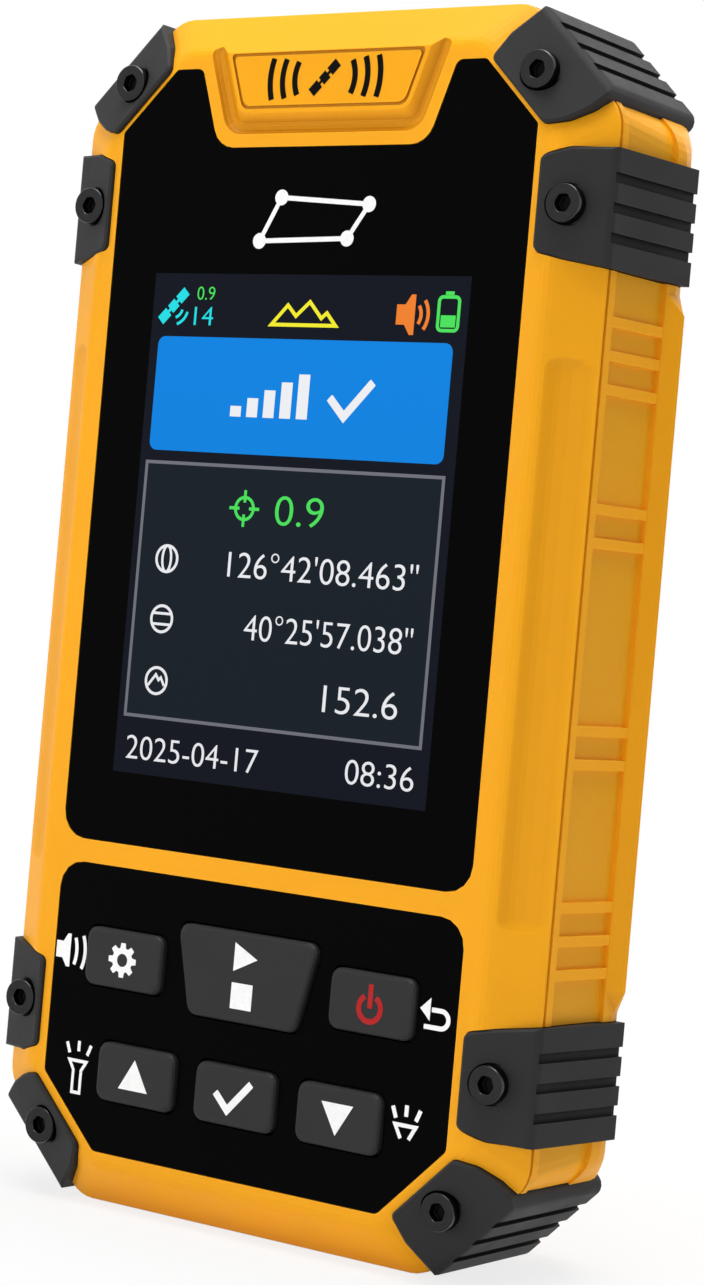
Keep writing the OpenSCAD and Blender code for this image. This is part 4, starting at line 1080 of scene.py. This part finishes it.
class METER_OT_stage(bpy.types.Operator):
    """Set the floor, the light and the camera"""

    bl_idname = "meter.set_stage"
    bl_label = "Stage"

    def execute(self, context):
        scene = context.scene
        stage = scene.meter_stage
        scene.view_settings.view_transform = "Standard"
        self.sky(scene, stage.sky)
        self.floor(scene)
        for name, direction, side, glossed in SOFTBOXES:
            watts = getattr(stage, name + "_power")
            holder = self.softbox(scene, name + "_softbox", direction, side, watts)
            holder.visible_glossy = glossed
        self.camera(scene, stage)
        return {"FINISHED"}

    def seen(self, tree):
        """1 for what the camera, a mirror or a pane shows of the background, 0 for light."""
        path = tree.add("ShaderNodeLightPath").outputs
        shown = tree.math("MAXIMUM", path["Is Camera Ray"], path["Is Glossy Ray"])
        return tree.math("MAXIMUM", shown, path["Is Transmission Ray"])

    def sky(self, scene, strength):
        world = bpy.data.worlds.new("studio")
        world.use_nodes = True
        scene.world = world
        tree = Tree(world.node_tree)
        background = tree.find("BACKGROUND").inputs
        tree.feed(background["Color"], WHITE)
        tree.feed(background["Strength"], tree.remap(self.seen(tree), 0.0, 1.0, strength, 1.0))

    def floor(self, scene):
        mesh = bpy.data.meshes.new("floor")
        outline = rectangle(-FLOOR_HALF, -FLOOR_HALF, FLOOR_HALF, FLOOR_HALF)
        mesh.from_pydata([(x, y, 0) for x, y in outline], [], [(0, 1, 2, 3)])
        floor = bpy.data.objects.new("floor", mesh)
        scene.collection.objects.link(floor)
        material, tree, _ = surface("pale_floor", Base_Color=(0.8, 0.8, 0.8), Roughness=0.8)
        white = tree.add("ShaderNodeEmission", {"Color": WHITE, "Strength": 1.0})
        away = tree.add("ShaderNodeVectorMath", {0: tree.place()}, operation="LENGTH")
        share = tree.remap(away.outputs["Value"], *FLOOR_FADE, 0.8, 1.0)
        blend = tree.add("ShaderNodeMixShader", {0: tree.math("MULTIPLY", share, self.seen(tree))})
        tree.feed(blend.inputs[1], tree.find("BSDF_PRINCIPLED").outputs[0])
        tree.feed(blend.inputs[2], white.outputs[0])
        tree.feed(tree.find("OUTPUT_MATERIAL").inputs["Surface"], blend.outputs[0])
        mesh.materials.append(material)

    def softbox(self, scene, name, direction, side, watts):
        lamp = bpy.data.lights.new(name, "AREA")
        lamp.shape = "SQUARE"
        lamp.size = side
        lamp.energy = watts
        holder = bpy.data.objects.new(name, lamp)
        scene.collection.objects.link(holder)
        towards = Vector(direction).normalized()
        holder.location = Vector((0, 0, MID_Z)) + towards * SOFTBOX_AWAY
        holder.rotation_euler = towards.to_track_quat("Z", "Y").to_euler()
        return holder

    def camera(self, scene, stage):
        data = bpy.data.cameras.new("photo_camera")
        data.sensor_fit = "VERTICAL"
        data.sensor_height = SENSOR
        data.lens = stage.lens
        data.shift_x, data.shift_y = SHIFT
        data.clip_start, data.clip_end = CLIP
        camera = bpy.data.objects.new("photo_camera", data)
        scene.collection.objects.link(camera)
        turn = Matrix.Rotation(stage.turn, 4, "Z") @ Matrix.Rotation(math.pi / 2, 4, "X")
        spot = Matrix.Translation((stage.camera_x, -stage.camera_y, stage.camera_z))
        camera.matrix_world = spot @ turn @ Matrix.Rotation(stage.roll, 4, "Z")
        scene.camera = camera


OPERATORS = (
    METER_OT_housing,
    METER_OT_guards,
    METER_OT_lens,
    METER_OT_picture,
    METER_OT_keypad,
    METER_OT_keys,
    METER_OT_ends,
    METER_OT_works,
    METER_OT_stage,
)
SETTINGS = {
    "meter_finish": METER_PG_finish,
    "meter_picture": METER_PG_picture,
    "meter_stage": METER_PG_stage,
}


class METER_PT_sidebar(bpy.types.Panel):
    """Lists the meter's pieces and their settings"""

    bl_idname = "METER_PT_sidebar"
    bl_label = "Land area meter"
    bl_space_type = "VIEW_3D"
    bl_region_type = "UI"
    bl_category = "Meter"

    def draw(self, context):
        for group in SETTINGS:
            settings = getattr(context.scene, group)
            column = self.layout.column(align=True)
            for name in settings.__annotations__:
                column.prop(settings, name)
        for operator in OPERATORS:
            self.layout.operator(operator.bl_idname)


CLASSES = (*SETTINGS.values(), *OPERATORS, METER_PT_sidebar)


def register():
    for cls in CLASSES:
        bpy.utils.register_class(cls)
    for name, cls in SETTINGS.items():
        setattr(bpy.types.Scene, name, PointerProperty(type=cls))


def unregister():
    for name in SETTINGS:
        delattr(bpy.types.Scene, name)
    for cls in reversed(CLASSES):
        bpy.utils.unregister_class(cls)


def main():
    register()
    bpy.ops.meter.dress_housing()
    bpy.ops.meter.dress_guards()
    bpy.ops.meter.dress_lens()
    bpy.ops.meter.light_picture()
    bpy.ops.meter.dress_keypad()
    bpy.ops.meter.dress_keys()
    bpy.ops.meter.dress_ends()
    bpy.ops.meter.dress_works()
    bpy.ops.meter.set_stage()


if __name__ == "__main__":
    main()
